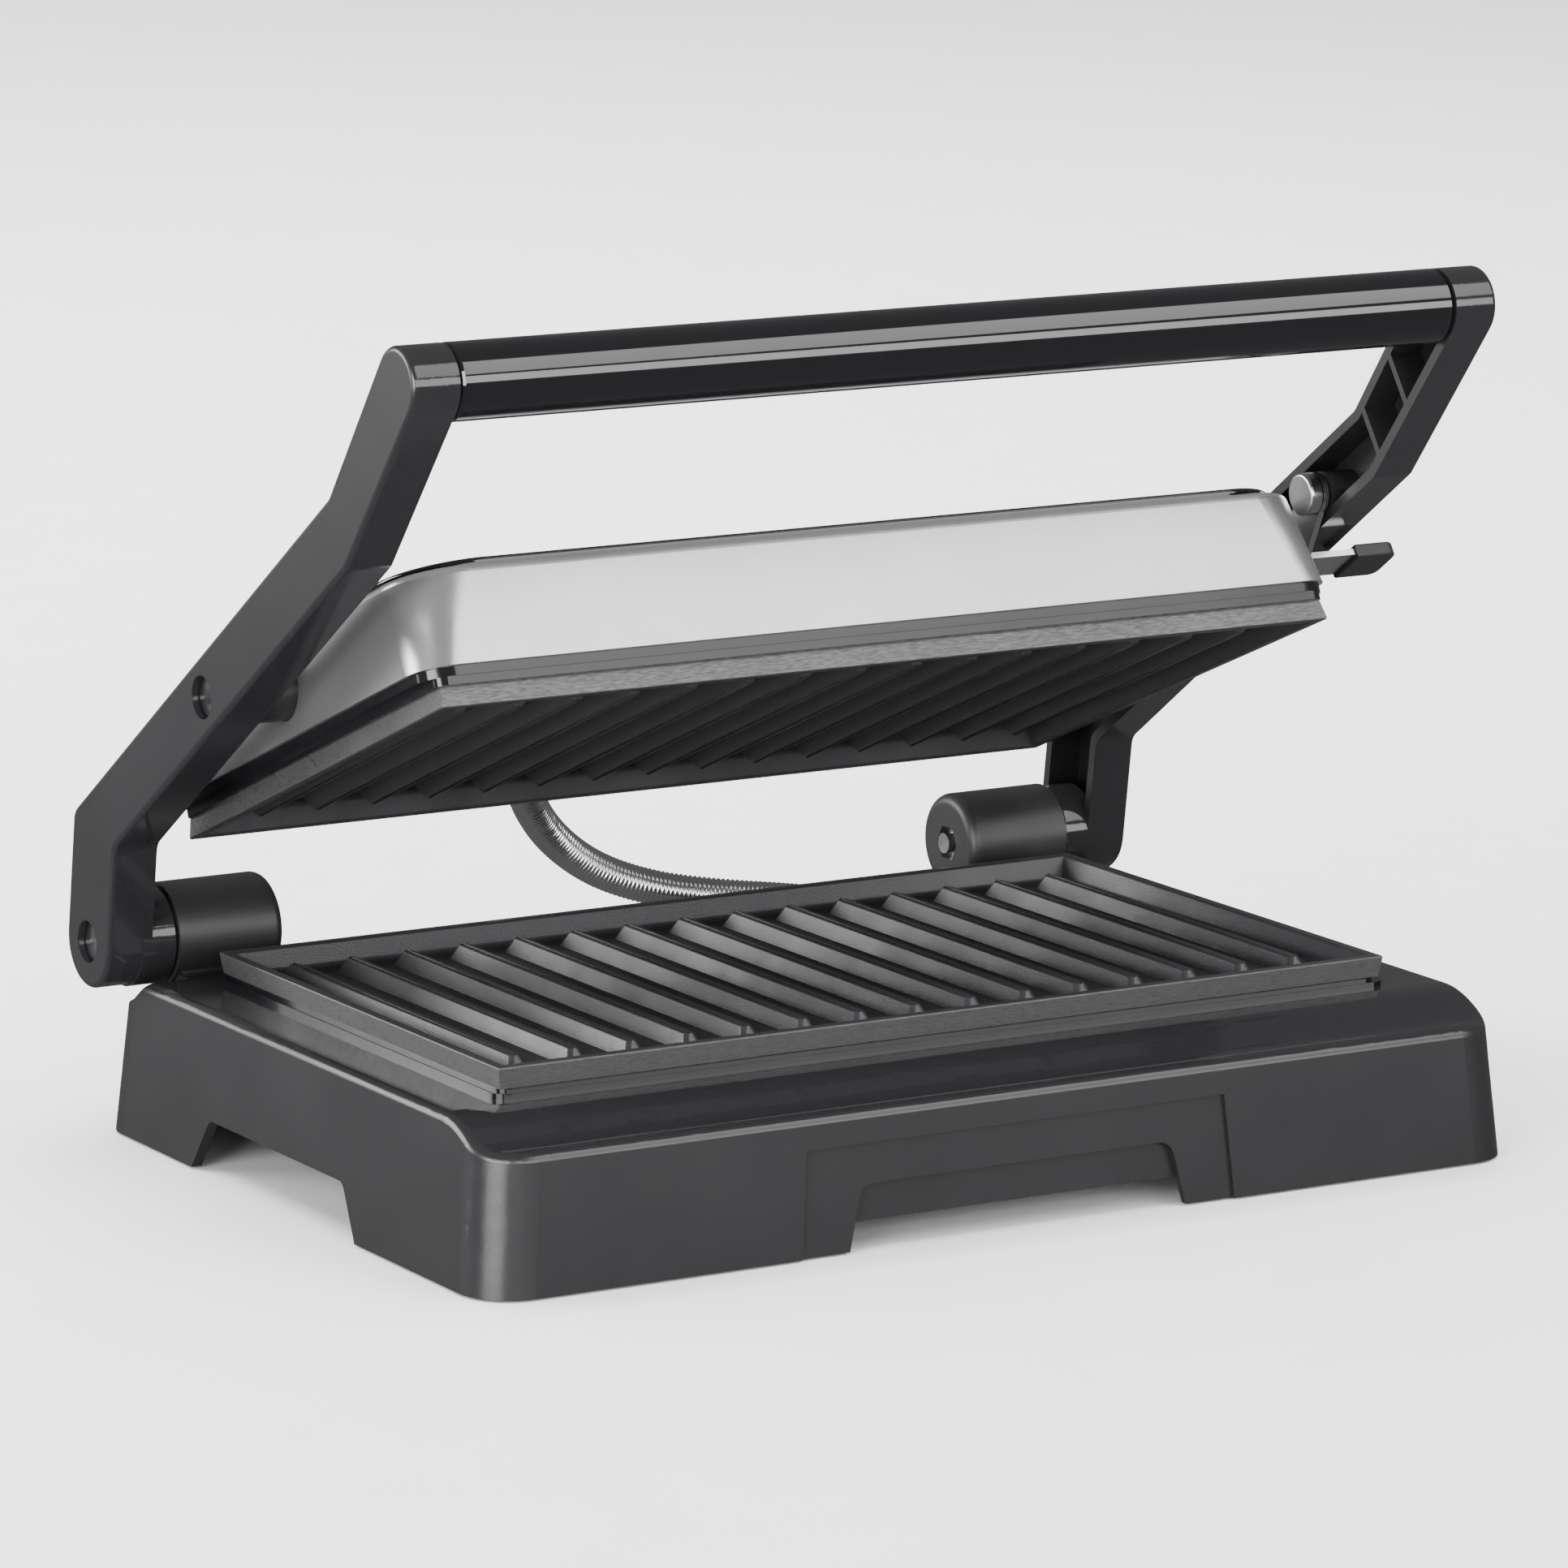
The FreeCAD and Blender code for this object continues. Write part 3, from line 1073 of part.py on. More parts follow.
def pivot_screw():
    seat = ARM_OUT - COUNTERBORE + SIDE_FIT
    shank = rod_x(HINGE_SCREW_R, PIVOT_SCREW_END, seat, PLATE_Y, PIVOT_Z)
    head = rod_x(SCREW_HEAD_R, seat, seat + SCREW_HEAD_H, PLATE_Y, PIVOT_Z)
    socket = hexagon_x(SOCKET_AF, seat + SOCKET_UP, seat + SCREW_HEAD_H + 1, PLATE_Y, PIVOT_Z)
    return fused(shank, head).cut(socket)


def lid_gland():
    y = LID_GLAND_Y + 0.6
    z = LID_RIM_Z + LID_GLAND_H
    flange = rod_y(GLAND_R, LID_GLAND_X, y, y + GLAND_OUT, z)
    rim = edges_where(flange, lambda p: p.y > y + GLAND_OUT - 0.01)
    flange = flange.makeFillet(GLAND_EDGE_R, rim)
    neck = rod_y(GLAND_NECK_R, LID_GLAND_X, y - 7, y, z)
    nut = rod_y(GLAND_R, LID_GLAND_X, y - LID_WALL - 4.2, y - LID_WALL - 1.4, z)
    bore = rod_y(CONDUIT_R - CONDUIT_LAP, LID_GLAND_X, y - 8, y + GLAND_OUT + 1, z)
    return fused(flange, neck, nut).cut(bore)


# ---- the flexible conduit, as it hangs at rest -----------------------------------------

# From the lid's gland, down behind the lid in one wide loop, to the gland in the base.
CONDUIT_ROUTE = [
    (-8.0, 91.47, 80.92),
    (-8.0, 110.0, 73.32),
    (0.4, 132.6, 63.5),
    (15.8, 146.3, 47.7),
    (31.0, 149.8, 35.8),
    (46.2, 147.5, 28.6),
    (61.2, 140.0, 25.4),
    (73.4, 127.0, 24.9),
    (80.0, 110.6, 25.6),
    (80.0, 93.33, 25.6),
]

# From the mains gland and from the conduit's gland to the terminal block.
MAINS_WIRE_ROUTE = [(INLET_X, WIRE_START, GLAND_Z),
                    (INLET_X + 3, BLOCK_Y + 2.5, WIRE_END_Z + 2.5),
                    (INLET_X + 20, BLOCK_Y - 1.5, WIRE_END_Z + 0.5),
                    (-BLOCK_W / 2 - 0.1, BLOCK_Y, WIRE_END_Z)]
FEED_WIRE_ROUTE = [(BASE_GLAND_X, WIRE_START, GLAND_Z),
                   (BASE_GLAND_X - 3, BLOCK_Y + 2.5, WIRE_END_Z + 2.5),
                   (BASE_GLAND_X - 28, BLOCK_Y - 2, WIRE_END_Z + 0.5),
                   (BLOCK_W / 2 + 0.1, BLOCK_Y, WIRE_END_Z)]


# ---- every piece, by name -------------------------------------------------------------

def base_pieces():
    clamp = hinge_clamp()
    return {
        "base_housing": base_housing(),
        "base_bottom_cover": base_bottom_cover(),
        "rubber_feet": group([rubber_foot(x, y) for x, y in FEET]),
        "bottom_cover_screws": group([small_screw(x, y, COVER_Z, COVER_T + 8, 1)
                                      for x, y in POSTS]),
        "hinge_barrel_right": hinge_barrel(),
        "hinge_barrel_left": mirrored(hinge_barrel()),
        "hinge_clamp_plates": group(both_sides([clamp])),
        "hinge_bracket_screws": group(both_sides(clamp_screws())),
        "hinge_screws": group(both_sides([hinge_screw()])),
        "hinge_nuts": group(both_sides([hinge_nut()])),
        "lower_plate_ring": lower_ring(),
        "lower_grill_plate": plate_in_base(grill_plate()),
        "lower_heating_element": in_base(heating_element()),
        "lower_element_straps": in_base(element_straps()),
        "lower_heat_shield": in_base(heat_shield(LIP_H + NECK_H + BASE_WALL, SHIELD_BRIM)),
        "lower_plate_screws": in_base(shield_screws()),
        "lower_thermostat": in_base(thermostat()),
        "thermal_fuse": thermal_fuse(),
        "terminal_block": terminal_block(),
        "base_wires": group([tube("mains wire", MAINS_WIRE_ROUTE, WIRE_R),
                             tube("feed wire", FEED_WIRE_ROUTE, WIRE_R)]),
        "wire_conduit": tube("conduit", CONDUIT_ROUTE, CONDUIT_R),
        "mains_inlet_gland": base_gland(INLET_X, INLET_BORE_R),
        "base_conduit_gland": base_gland(BASE_GLAND_X, CONDUIT_R - CONDUIT_LAP),
    }


def arm_pieces():
    return {
        "arm_right": right_arm(),
        "arm_left": mirrored(arm()),
        "handle_tube": handle_tube(),
        "handle_core": handle_core(),
        "lever_pin": lever_pin(),
        "lock_lever": lock_lever(),
        "lever_grip": lever_grip(),
    }


def lid_pieces():
    return {
        "upper_cover": upper_cover(),
        "upper_top_panel": upper_top_panel(),
        "upper_housing_frame": upper_frame(),
        "upper_grill_plate": plate_in_lid(grill_plate()),
        "upper_heating_element": in_lid(heating_element()),
        "upper_element_straps": in_lid(element_straps()),
        "upper_heat_shield": in_lid(heat_shield(LID_NECK_H + LID_LIP_H, LID_SHIELD_BRIM)),
        "upper_plate_screws": in_lid(shield_screws()),
        "upper_thermostat": in_lid(thermostat()),
        "indicator_lenses": group([indicator_lens(x) for x in LENS_XS]),
        "indicator_lamps": group([indicator_lamp(x) for x in LENS_XS]),
        "pivot_boss_right": pivot_boss(),
        "pivot_boss_left": mirrored(pivot_boss()),
        "pivot_screws": group(both_sides([pivot_screw()])),
        "upper_conduit_gland": lid_gland(),
    }


def save(pieces, place):
    for name, shape in pieces.items():
        placed = place(shape).translated(TO_MIDDLE)
        if not placed.isValid():
            print("not valid:", name)
        print("%-26s %2d solids %10.0f mm3" % (name, len(placed.Solids), placed.Volume))
        placed.exportStep("parts/" + name + ".step")


os.makedirs("parts", exist_ok=True)
save(base_pieces(), lambda shape: shape)
save(arm_pieces(), with_arms)
save(lid_pieces(), with_lid)
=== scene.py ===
# %% [markdown]
# # A panini press
# The CAD model gives the frame: every body, joint and size. This script adds the camera and
# the light, makes the two cooking plates and the metal conduit again as clean meshes in the
# same places, and gives every piece a procedural finish. The other pieces stay as the CAD
# model has them. Blender works in metres and a maker works in millimetres, so sizes here are
# in millimetres and MM turns them into metres.

# %% Load the frame
import json
import math

import bmesh
import bpy
from mathutils import Matrix, Vector


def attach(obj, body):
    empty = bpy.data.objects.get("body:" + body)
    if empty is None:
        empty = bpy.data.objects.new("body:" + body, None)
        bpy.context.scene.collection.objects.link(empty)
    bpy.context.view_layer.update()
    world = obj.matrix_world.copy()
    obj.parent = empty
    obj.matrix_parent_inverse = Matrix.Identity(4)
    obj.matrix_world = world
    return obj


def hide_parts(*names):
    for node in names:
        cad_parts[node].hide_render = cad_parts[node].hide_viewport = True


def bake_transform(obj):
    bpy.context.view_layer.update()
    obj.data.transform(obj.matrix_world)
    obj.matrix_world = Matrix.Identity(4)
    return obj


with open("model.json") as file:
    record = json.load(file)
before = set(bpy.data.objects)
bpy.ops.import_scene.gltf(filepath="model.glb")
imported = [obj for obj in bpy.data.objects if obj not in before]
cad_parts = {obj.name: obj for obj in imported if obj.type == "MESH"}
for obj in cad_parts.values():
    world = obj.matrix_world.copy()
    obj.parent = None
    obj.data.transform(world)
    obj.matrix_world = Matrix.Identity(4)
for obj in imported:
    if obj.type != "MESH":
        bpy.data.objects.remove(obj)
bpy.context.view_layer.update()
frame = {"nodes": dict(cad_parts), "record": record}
MM = 0.001
nodes = frame["nodes"]
# The plates' middle, seen from the middle of the whole, which the lever's grip moves aside
MIDDLE = Vector((-6.15, 0, 0))

# %% [markdown]
# A product camera stands far back with a long lens, so that the press keeps its proportions
# and its edges stay nearly parallel. It looks from the front left and a little from above.

# %% Camera
camera_data = bpy.data.cameras.new("camera")
camera = bpy.data.objects.new("camera", camera_data)
bpy.context.scene.collection.objects.link(camera)
camera.location = (-0.89286, -1.49761, 0.42488)
camera.rotation_euler = (math.radians(78.892), math.radians(-0.238), math.radians(-30.483))
camera_data.sensor_width = 36.0
camera_data.lens = 178.6
camera_data.clip_end = 20.0
bpy.context.scene.camera = camera
print("camera at", tuple(camera.location))

# %% [markdown]
# The conduit carries the lid's wires. It is a wound steel strip, so it is stiff: it leaves
# the lid's gland straight, makes one wide loop behind the press and enters the base's gland
# straight. One NURBS spline holds the whole line. Each half follows it as a tube whose wall
# rises and falls once for each turn of the strip.

# %% The conduit's line
CONDUIT_R = 4.5
STRIP_PITCH, STRIP_DEPTH = 1.2, 0.4
RING_CORNERS = 20
CONDUIT_ROUTE = [
    (-8.0, 91.47, 80.92), (-8.0, 110.0, 73.32), (-1.0, 131.5, 62.0), (13.0, 145.2, 45.8),
    (28.5, 149.8, 33.8), (44.8, 147.8, 27.2), (60.7, 140.2, 24.8), (73.4, 127.0, 24.9),
    (80.0, 110.6, 25.6), (80.0, 93.33, 25.6),
]
line_data = bpy.data.curves.new("conduit_line", "CURVE")
line_data.dimensions = "3D"
line_data.resolution_u = 90
spline = line_data.splines.new("NURBS")
spline.points.add(len(CONDUIT_ROUTE) - 1)
for point, place in zip(spline.points, CONDUIT_ROUTE):
    point.co = (*((Vector(place) + MIDDLE) * MM), 1)
spline.order_u = 3
spline.use_endpoint_u = True
line = bpy.data.objects.new("conduit_line", line_data)
bpy.context.scene.collection.objects.link(line)
line_mesh = bpy.data.meshes.new_from_object(line)
LINE = [v.co.copy() for v in line_mesh.vertices]
bpy.data.objects.remove(line)
along = [0.0]
for a, b in zip(LINE, LINE[1:]):
    along.append(along[-1] + (b - a).length)
print("conduit", round(along[-1] * 1000, 1), "mm in", len(LINE), "points")


# %% A wound tube along a stretch of the line
def wound_tube(name, first, last):
    """A tube made ring by ring; each ring is extruded from the one before it."""
    bm = bmesh.new()
    ring = bmesh.ops.create_circle(bm, segments=RING_CORNERS, radius=1.0, cap_ends=True)["verts"]
    heading = Vector((0, 0, 1))
    centre = Vector()
    radius = 1.0
    for i in range(first, last + 1):
        ahead = (LINE[min(i + 1, len(LINE) - 1)] - LINE[max(i - 1, 0)]).normalized()
        wave = 0.5 + 0.5 * math.cos(2 * math.pi * along[i] / (STRIP_PITCH * MM))
        new_radius = (CONDUIT_R - STRIP_DEPTH * wave ** 2) * MM
        if i > first:
            edges = {e for v in ring for e in v.link_edges if e.other_vert(v) in ring}
            out = bmesh.ops.extrude_edge_only(bm, edges=list(edges))
            ring = [v for v in out["geom"] if isinstance(v, bmesh.types.BMVert)]
        turn = heading.rotation_difference(ahead).to_matrix().to_4x4()
        size = Matrix.Scale(new_radius / radius, 4)
        move = Matrix.Translation(LINE[i]) @ turn @ size @ Matrix.Translation(-centre)
        bmesh.ops.transform(bm, matrix=move, verts=ring)
        heading, centre, radius = ahead, LINE[i], new_radius
    rim = [e for e in bm.edges if e.is_boundary]
    bmesh.ops.edgeloop_fill(bm, edges=rim)
    bmesh.ops.recalc_face_normals(bm, faces=bm.faces)
    mesh = bpy.data.meshes.new(name)
    bm.to_mesh(mesh)
    bm.free()
    mesh.shade_smooth()
    piece = bpy.data.objects.new(name, mesh)
    bpy.context.scene.collection.objects.link(piece)
    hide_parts("wire_conduit")
    print(name, len(mesh.polygons), "faces")
    return piece


# %% [markdown]
# The lid's end of the conduit moves with the lid, and the other end stays with the base. A
# blend can cross only one joint, so the conduit is made as two pieces that meet at a point
# along its line.

# %% The two halves of the conduit
UPPER_L, BEND_L = 56.0, 125.0


def point_at(length):
    """The number of the line's point that is nearest to a length along it."""
    return min(range(len(LINE)), key=lambda i: abs(along[i] - length * MM))


split = point_at(UPPER_L)
conduit_upper = wound_tube("conduit_upper", 0, split)
conduit_lower = wound_tube("conduit_lower", split, len(LINE) - 1)
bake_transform(conduit_upper)
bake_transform(conduit_lower)

# %% [markdown]
# Black gloss shows only what it reflects, so the set is dark and the lights draw the shapes:
# a long strip in front gives the handle its streak, a box at the left lights the round
# corners, a high box in front brightens the silver cover, and a soft one behind at the left
# greys the side walls. A wide lamp overhead lights the pale floor and the shadows. The floor
# sweeps up into a wall, so there is no horizon, and neither it nor the overhead lamp shows
# in the gloss, nor does a second lamp that evens out the wall.

# %% Floor
FLOOR_HALF, SWEEP_R = 4.0, 1.5     # metres
floor_bm = bmesh.new()
bmesh.ops.create_grid(floor_bm, x_segments=1, y_segments=1, size=FLOOR_HALF)
rear_edge = [e for e in floor_bm.edges if all(v.co.y > FLOOR_HALF - 0.1 for v in e.verts)]
swept = bmesh.ops.extrude_edge_only(floor_bm, edges=rear_edge)
rising = [v for v in swept["geom"] if isinstance(v, bmesh.types.BMVert)]
bmesh.ops.translate(floor_bm, verts=rising, vec=(0, 0, FLOOR_HALF))
bmesh.ops.bevel(floor_bm, geom=rear_edge, offset=SWEEP_R, offset_type="OFFSET",
                affect="EDGES", segments=12, profile=0.5, material=-1)
floor_mesh = bpy.data.meshes.new("floor")
floor_bm.to_mesh(floor_mesh)
floor_bm.free()
floor_mesh.shade_smooth()
floor = bpy.data.objects.new("floor", floor_mesh)
bpy.context.scene.collection.objects.link(floor)
floor.visible_glossy = False
print("floor", len(floor_mesh.polygons), "faces")


# %% Soft lights
def soft_light(name, place, aim, size, power):
    """A rectangular soft box that points at aim."""
    data = bpy.data.lights.new(name, "AREA")
    data.shape = "RECTANGLE"
    data.size, data.size_y = size
    data.energy = power
    light = bpy.data.objects.new(name, data)
    light.location = place
    light.rotation_euler = (Vector(aim) - Vector(place)).to_track_quat("-Z", "Y").to_euler()
    bpy.context.scene.collection.objects.link(light)
    return light


soft_light("front_strip", (0.3, -2.3, 0.66), (0.3, 0, 0.66), (3.4, 0.8), 60)
soft_light("front_high", (0.95, -1.4, 1.55), (0, 0, 0.15), (1.6, 1.2), 26)
soft_light("left_box", (-1.9, -1.0, 0.5), (0, 0, 0.1), (1.5, 1.0), 75)
soft_light("left_rear", (-1.5, 1.3, 0.55), (0, 0, 0.1), (1.4, 0.9), 45)
for name, place, aim, power in (("overhead", (0.0, 0.4, 2.3), (0, 0.2, 0), 200),
                                ("backdrop", (0.0, 1.2, 2.6), (0, 3.6, 1.2), 170)):
    soft_light(name, place, aim, (3.0, 2.6), power).visible_glossy = False
world = bpy.data.worlds.new("studio")
world.use_nodes = True
world.node_tree.nodes["Background"].inputs["Color"].default_value = (1, 1, 1, 1)
world.node_tree.nodes["Background"].inputs["Strength"].default_value = 0.15
bpy.context.scene.world = world

# %% [markdown]
# Every finish starts as one shader with its own plain numbers. What makes it look real comes
# from two noises in the piece's own coordinates: a coarse one that lets the roughness drift
# a little, as handling and moulding leave it, and a fine one that becomes a faint bump.

# %% A finish with drift and grain
GRAIN_H = 0.4


def finish(name, color, metallic=0.0, rough=(0.3, 0.4), drift=40.0, grain=900.0, bump=0.05,
           coat=0.0, shade=0.0, stretch=(1, 1, 1), gloss=None):
    """A shader whose roughness drifts between two values, over a bump of fine grain.
    gloss is an axis, how far a normal leans on it, and how much smoother faces get there."""
    material = bpy.data.materials.new(name)
    material.use_nodes = True
    tree = material.node_tree
    shader = tree.nodes["Principled BSDF"]
    shader.inputs["Base Color"].default_value = (*color, 1)
    shader.inputs["Metallic"].default_value = metallic
    shader.inputs["Coat Weight"].default_value = coat
    shader.inputs["Coat Roughness"].default_value = 0.06
    place = tree.nodes.new("ShaderNodeTexCoord")
    mapping = tree.nodes.new("ShaderNodeMapping")
    mapping.inputs["Scale"].default_value = stretch
    tree.links.new(place.outputs["Object"], mapping.inputs["Vector"])
    coarse = noise(tree, mapping, drift, 3.0)
    rough_out = remapped(tree, coarse.outputs["Fac"], (0.3, 0.7), rough)
    if gloss:
        rough_out = glossier(tree, place, rough_out, *gloss)
    tree.links.new(rough_out, shader.inputs["Roughness"])
    fine = noise(tree, mapping, grain, 2.0)
    relief = tree.nodes.new("ShaderNodeBump")
    relief.inputs["Strength"].default_value = bump
    relief.inputs["Distance"].default_value = GRAIN_H * MM
    tree.links.new(fine.outputs["Fac"], relief.inputs["Height"])
    tree.links.new(relief.outputs["Normal"], shader.inputs["Normal"])
    if shade:
        tint = tree.nodes.new("ShaderNodeMix")
        tint.data_type = "RGBA"
        tint.inputs["A"].default_value = (*[c * (1 - shade) for c in color], 1)
        tint.inputs["B"].default_value = (*[min(1, c * (1 + shade)) for c in color], 1)
        tree.links.new(coarse.outputs["Fac"], tint.inputs["Factor"])
        tree.links.new(tint.outputs["Result"], shader.inputs["Base Color"])
    return material


def remapped(tree, value, taken, given=(0.0, 1.0)):
    """A value with one range stretched onto another."""
    stretch = tree.nodes.new("ShaderNodeMapRange")
    for socket, number in zip(("From Min", "From Max", "To Min", "To Max"), (*taken, *given)):
        stretch.inputs[socket].default_value = number
    tree.links.new(value, stretch.inputs["Value"])
    return stretch.outputs["Result"]


def sized(tree, value):
    """A value without its sign."""
    size = tree.nodes.new("ShaderNodeMath")
    size.operation = "ABSOLUTE"
    tree.links.new(value, size.inputs[0])
    return size.outputs["Value"]


def times(tree, first, second):
    """The product of two values."""
    product = tree.nodes.new("ShaderNodeMath")
    product.operation = "MULTIPLY"
    tree.links.new(first, product.inputs[0])
    tree.links.new(second, product.inputs[1])
    return product.outputs["Value"]


def glossier(tree, place, rough_out, axis, plain, polished, share):
    """Roughness that falls by a share as the normal's lean on an axis goes from the plain
    to the polished value: moulds are polished on some faces and textured on others."""
    facing = tree.nodes.new("ShaderNodeSeparateXYZ")
    tree.links.new(place.outputs["Normal"], facing.inputs["Vector"])
    lean = sized(tree, facing.outputs[axis])
    return times(tree, rough_out, remapped(tree, lean, (plain, polished), (1.0, 1.0 - share)))


def noise(tree, mapping, scale, detail):
    """A noise in mapped coordinates."""
    texture = tree.nodes.new("ShaderNodeTexNoise")
    texture.inputs["Scale"].default_value = scale
    texture.inputs["Detail"].default_value = detail
    tree.links.new(mapping.outputs["Vector"], texture.inputs["Vector"])
    return texture


# %% [markdown]
# The press is nearly all black, so its finishes differ in gloss: the handle and the top panel
# are polished, the base and arms are satin with a fine spark texture on most faces, the
# plates have a coating with tiny grains, and the cover is metallic paint over pressed steel.

# %% The finishes, one for each material slot
FINISHES = {
    "base_black": finish("base_black", (0.012, 0.012, 0.013),
                         rough=(0.29, 0.32), grain=1500, bump=0.03, shade=0.04,
                         gloss=("Z", 0.45, 0.9, 0.75)),
    "arm_black": finish("arm_black", (0.012, 0.012, 0.013),
                        rough=(0.3, 0.33), grain=1600, bump=0.035, shade=0.04,
                        gloss=("X", 0.8, 0.4, 0.7)),
    "handle_black": finish("handle_black", (0.005, 0.005, 0.006),
                           rough=(0.06, 0.08), grain=800, bump=0.008, coat=0.4, shade=0.05),
    "panel_black": finish("panel_black", (0.006, 0.006, 0.007),
                          rough=(0.05, 0.07), grain=700, bump=0.008, coat=0.6, shade=0.05),
    "ring_black": finish("ring_black", (0.006, 0.006, 0.007),
                         rough=(0.1, 0.16), grain=1300, bump=0.015, shade=0.1),
    "satin_black": finish("satin_black", (0.012, 0.012, 0.013),
                          rough=(0.38, 0.48), grain=1500, bump=0.07, shade=0.15),
    "nonstick": finish("nonstick", (0.02, 0.02, 0.022),
                       rough=(0.3, 0.42), drift=60, grain=2600, bump=0.15, shade=0.2),
    "cover_silver": finish("cover_silver", (0.5, 0.5, 0.51),
                           metallic=0.9, rough=(0.28, 0.34), grain=3200, bump=0.06, shade=0.04),
    "conduit_steel": finish("conduit_steel", (0.6, 0.6, 0.61),
                            metallic=1.0, rough=(0.14, 0.24), grain=900, bump=0.02, shade=0.08),
    "lever_steel": finish("lever_steel", (0.62, 0.62, 0.62),
                          metallic=1.0, rough=(0.2, 0.32), grain=1500,
                          bump=0.03, stretch=(1, 0.1, 1)),
    "bright_screw": finish("bright_screw", (0.6, 0.6, 0.61),
                           metallic=1.0, rough=(0.15, 0.25), grain=1500, bump=0.02, shade=0.08),
    "hidden_steel": finish("hidden_steel", (0.45, 0.45, 0.46),
                           metallic=1.0, rough=(0.35, 0.5), grain=800, bump=0.04, shade=0.1),
    "element_steel": finish("element_steel", (0.22, 0.19, 0.17),
                            metallic=1.0, rough=(0.45, 0.6), drift=90, grain=1200,
                            bump=0.08, shade=0.3),
    "ceramic_white": finish("ceramic_white", (0.72, 0.7, 0.66),
                            rough=(0.5, 0.65), grain=1500, bump=0.05, shade=0.05),
    "wire_white": finish("wire_white", (0.68, 0.67, 0.64),
                         rough=(0.45, 0.6), grain=900, bump=0.04, shade=0.05),
    "foot_rubber": finish("foot_rubber", (0.02, 0.02, 0.02),
                          rough=(0.7, 0.85), grain=1800, bump=0.12, shade=0.2),
    "lens": finish("lens", (0.25, 0.05, 0.015), rough=(0.06, 0.1), grain=500, bump=0.01, coat=0.5),
    "lamp_glass": finish("lamp_glass", (0.75, 0.5, 0.32), rough=(0.05, 0.1), grain=500, bump=0.01),
}


# %% [markdown]
# The plates have two finishes. Their cooking faces keep the coating, and their outer sides
# are machined bright after it, so they show paler metal with fine slanted tool marks. The
# marks are a noise squeezed along a slanted line, mixed in only where the surface looks
# sideways. Sideways depends on how a plate lies, so each plate has its own material.

# %% The coating with machined sides
def plate_coating(name, up):
    """The plates' coating, with machined metal on faces that stand along the direction up."""
    material = finish(name, (0.02, 0.02, 0.022), rough=(0.3, 0.42), drift=60, grain=2600,
                      bump=0.15, shade=0.2)
    tree = material.node_tree
    shader = tree.nodes["Principled BSDF"]
    place = tree.nodes["Texture Coordinate"]
    rise = tree.nodes.new("ShaderNodeVectorMath")
    rise.operation = "DOT_PRODUCT"
    rise.inputs[1].default_value = up
    tree.links.new(place.outputs["Normal"], rise.inputs[0])
    side = remapped(tree, sized(tree, rise.outputs["Value"]), (0.32, 0.26))
    slant = tree.nodes.new("ShaderNodeMapping")
    slant.inputs["Rotation"].default_value = (0.7, 0.5, 0.0)
    slant.inputs["Scale"].default_value = (1.0, 1.0, 9.0)
    tree.links.new(place.outputs["Object"], slant.inputs["Vector"])
    marks = noise(tree, slant, 420, 4.0)
    metal = remapped(tree, marks.outputs["Fac"], (0.35, 0.7), (0.1, 1.0))
    shown = times(tree, side, metal)
    tint = tree.nodes.new("ShaderNodeMix")
    tint.data_type = "RGBA"
    tint.inputs["B"].default_value = (0.14, 0.14, 0.14, 1)
    coated = shader.inputs["Base Color"].links[0].from_socket
    tree.links.new(coated, tint.inputs["A"])
    tree.links.new(shown, tint.inputs["Factor"])
    tree.links.new(tint.outputs["Result"], shader.inputs["Base Color"])
    tree.links.new(shown, shader.inputs["Metallic"])
    return material


ARMS_OPEN, LID_DROPS = 35.0, -12.7
LID_TILT = math.radians(ARMS_OPEN + LID_DROPS)
LOWER_COATING = plate_coating("nonstick_lower", (0, 0, 1))
UPPER_COATING = plate_coating("nonstick_upper", (0, math.sin(LID_TILT), math.cos(LID_TILT)))
print("plate coatings", LOWER_COATING.name, UPPER_COATING.name)

# %% Paint the CAD nodes
SLOT_OF = {entry["node"]: entry["material_slot"] for entry in frame["record"]["subparts"]}
for name, node in nodes.items():
    node.data.materials.clear()
    node.data.materials.append(FINISHES[SLOT_OF[name]])
floor_paint = finish("floor_paint", (0.86, 0.86, 0.86), rough=(0.55, 0.65), grain=300, bump=0.01)
floor_mesh.materials.append(floor_paint)
print(len(FINISHES), "finishes on", len(nodes), "CAD nodes")

# %% Give the conduit its finish
for half in (conduit_upper, conduit_lower):
    half.data.materials.append(FINISHES["conduit_steel"])

# %% [markdown]
# The lid's plate is drawn with the lid closed, where its faces are square, and is then
# turned about the hinge and the lid's own pivot to the half-open position. A piece is
# settled once it is drawn: its faces are made to point outwards, it moves to its place, and
# it is tied to the body that carries it.

# %% Turning and settling
HINGE = Vector((0, 85.85, 44.9))
PIVOT = Vector((0, -2.15, 64.8))
AXLE = Vector((-1, 0, 0))
SHARP_DEG = 32.0


def turn_about(place, degrees):
    """A turn about an axle through place that lifts the front."""
    turn = Matrix.Rotation(math.radians(degrees), 4, AXLE)
    return Matrix.Translation(place) @ turn @ Matrix.Translation(-place)


WITH_LID = turn_about(HINGE, ARMS_OPEN) @ turn_about(PIVOT, LID_DROPS)
INTO_PRESS = Matrix.Scale(MM, 4) @ Matrix.Translation(MIDDLE)


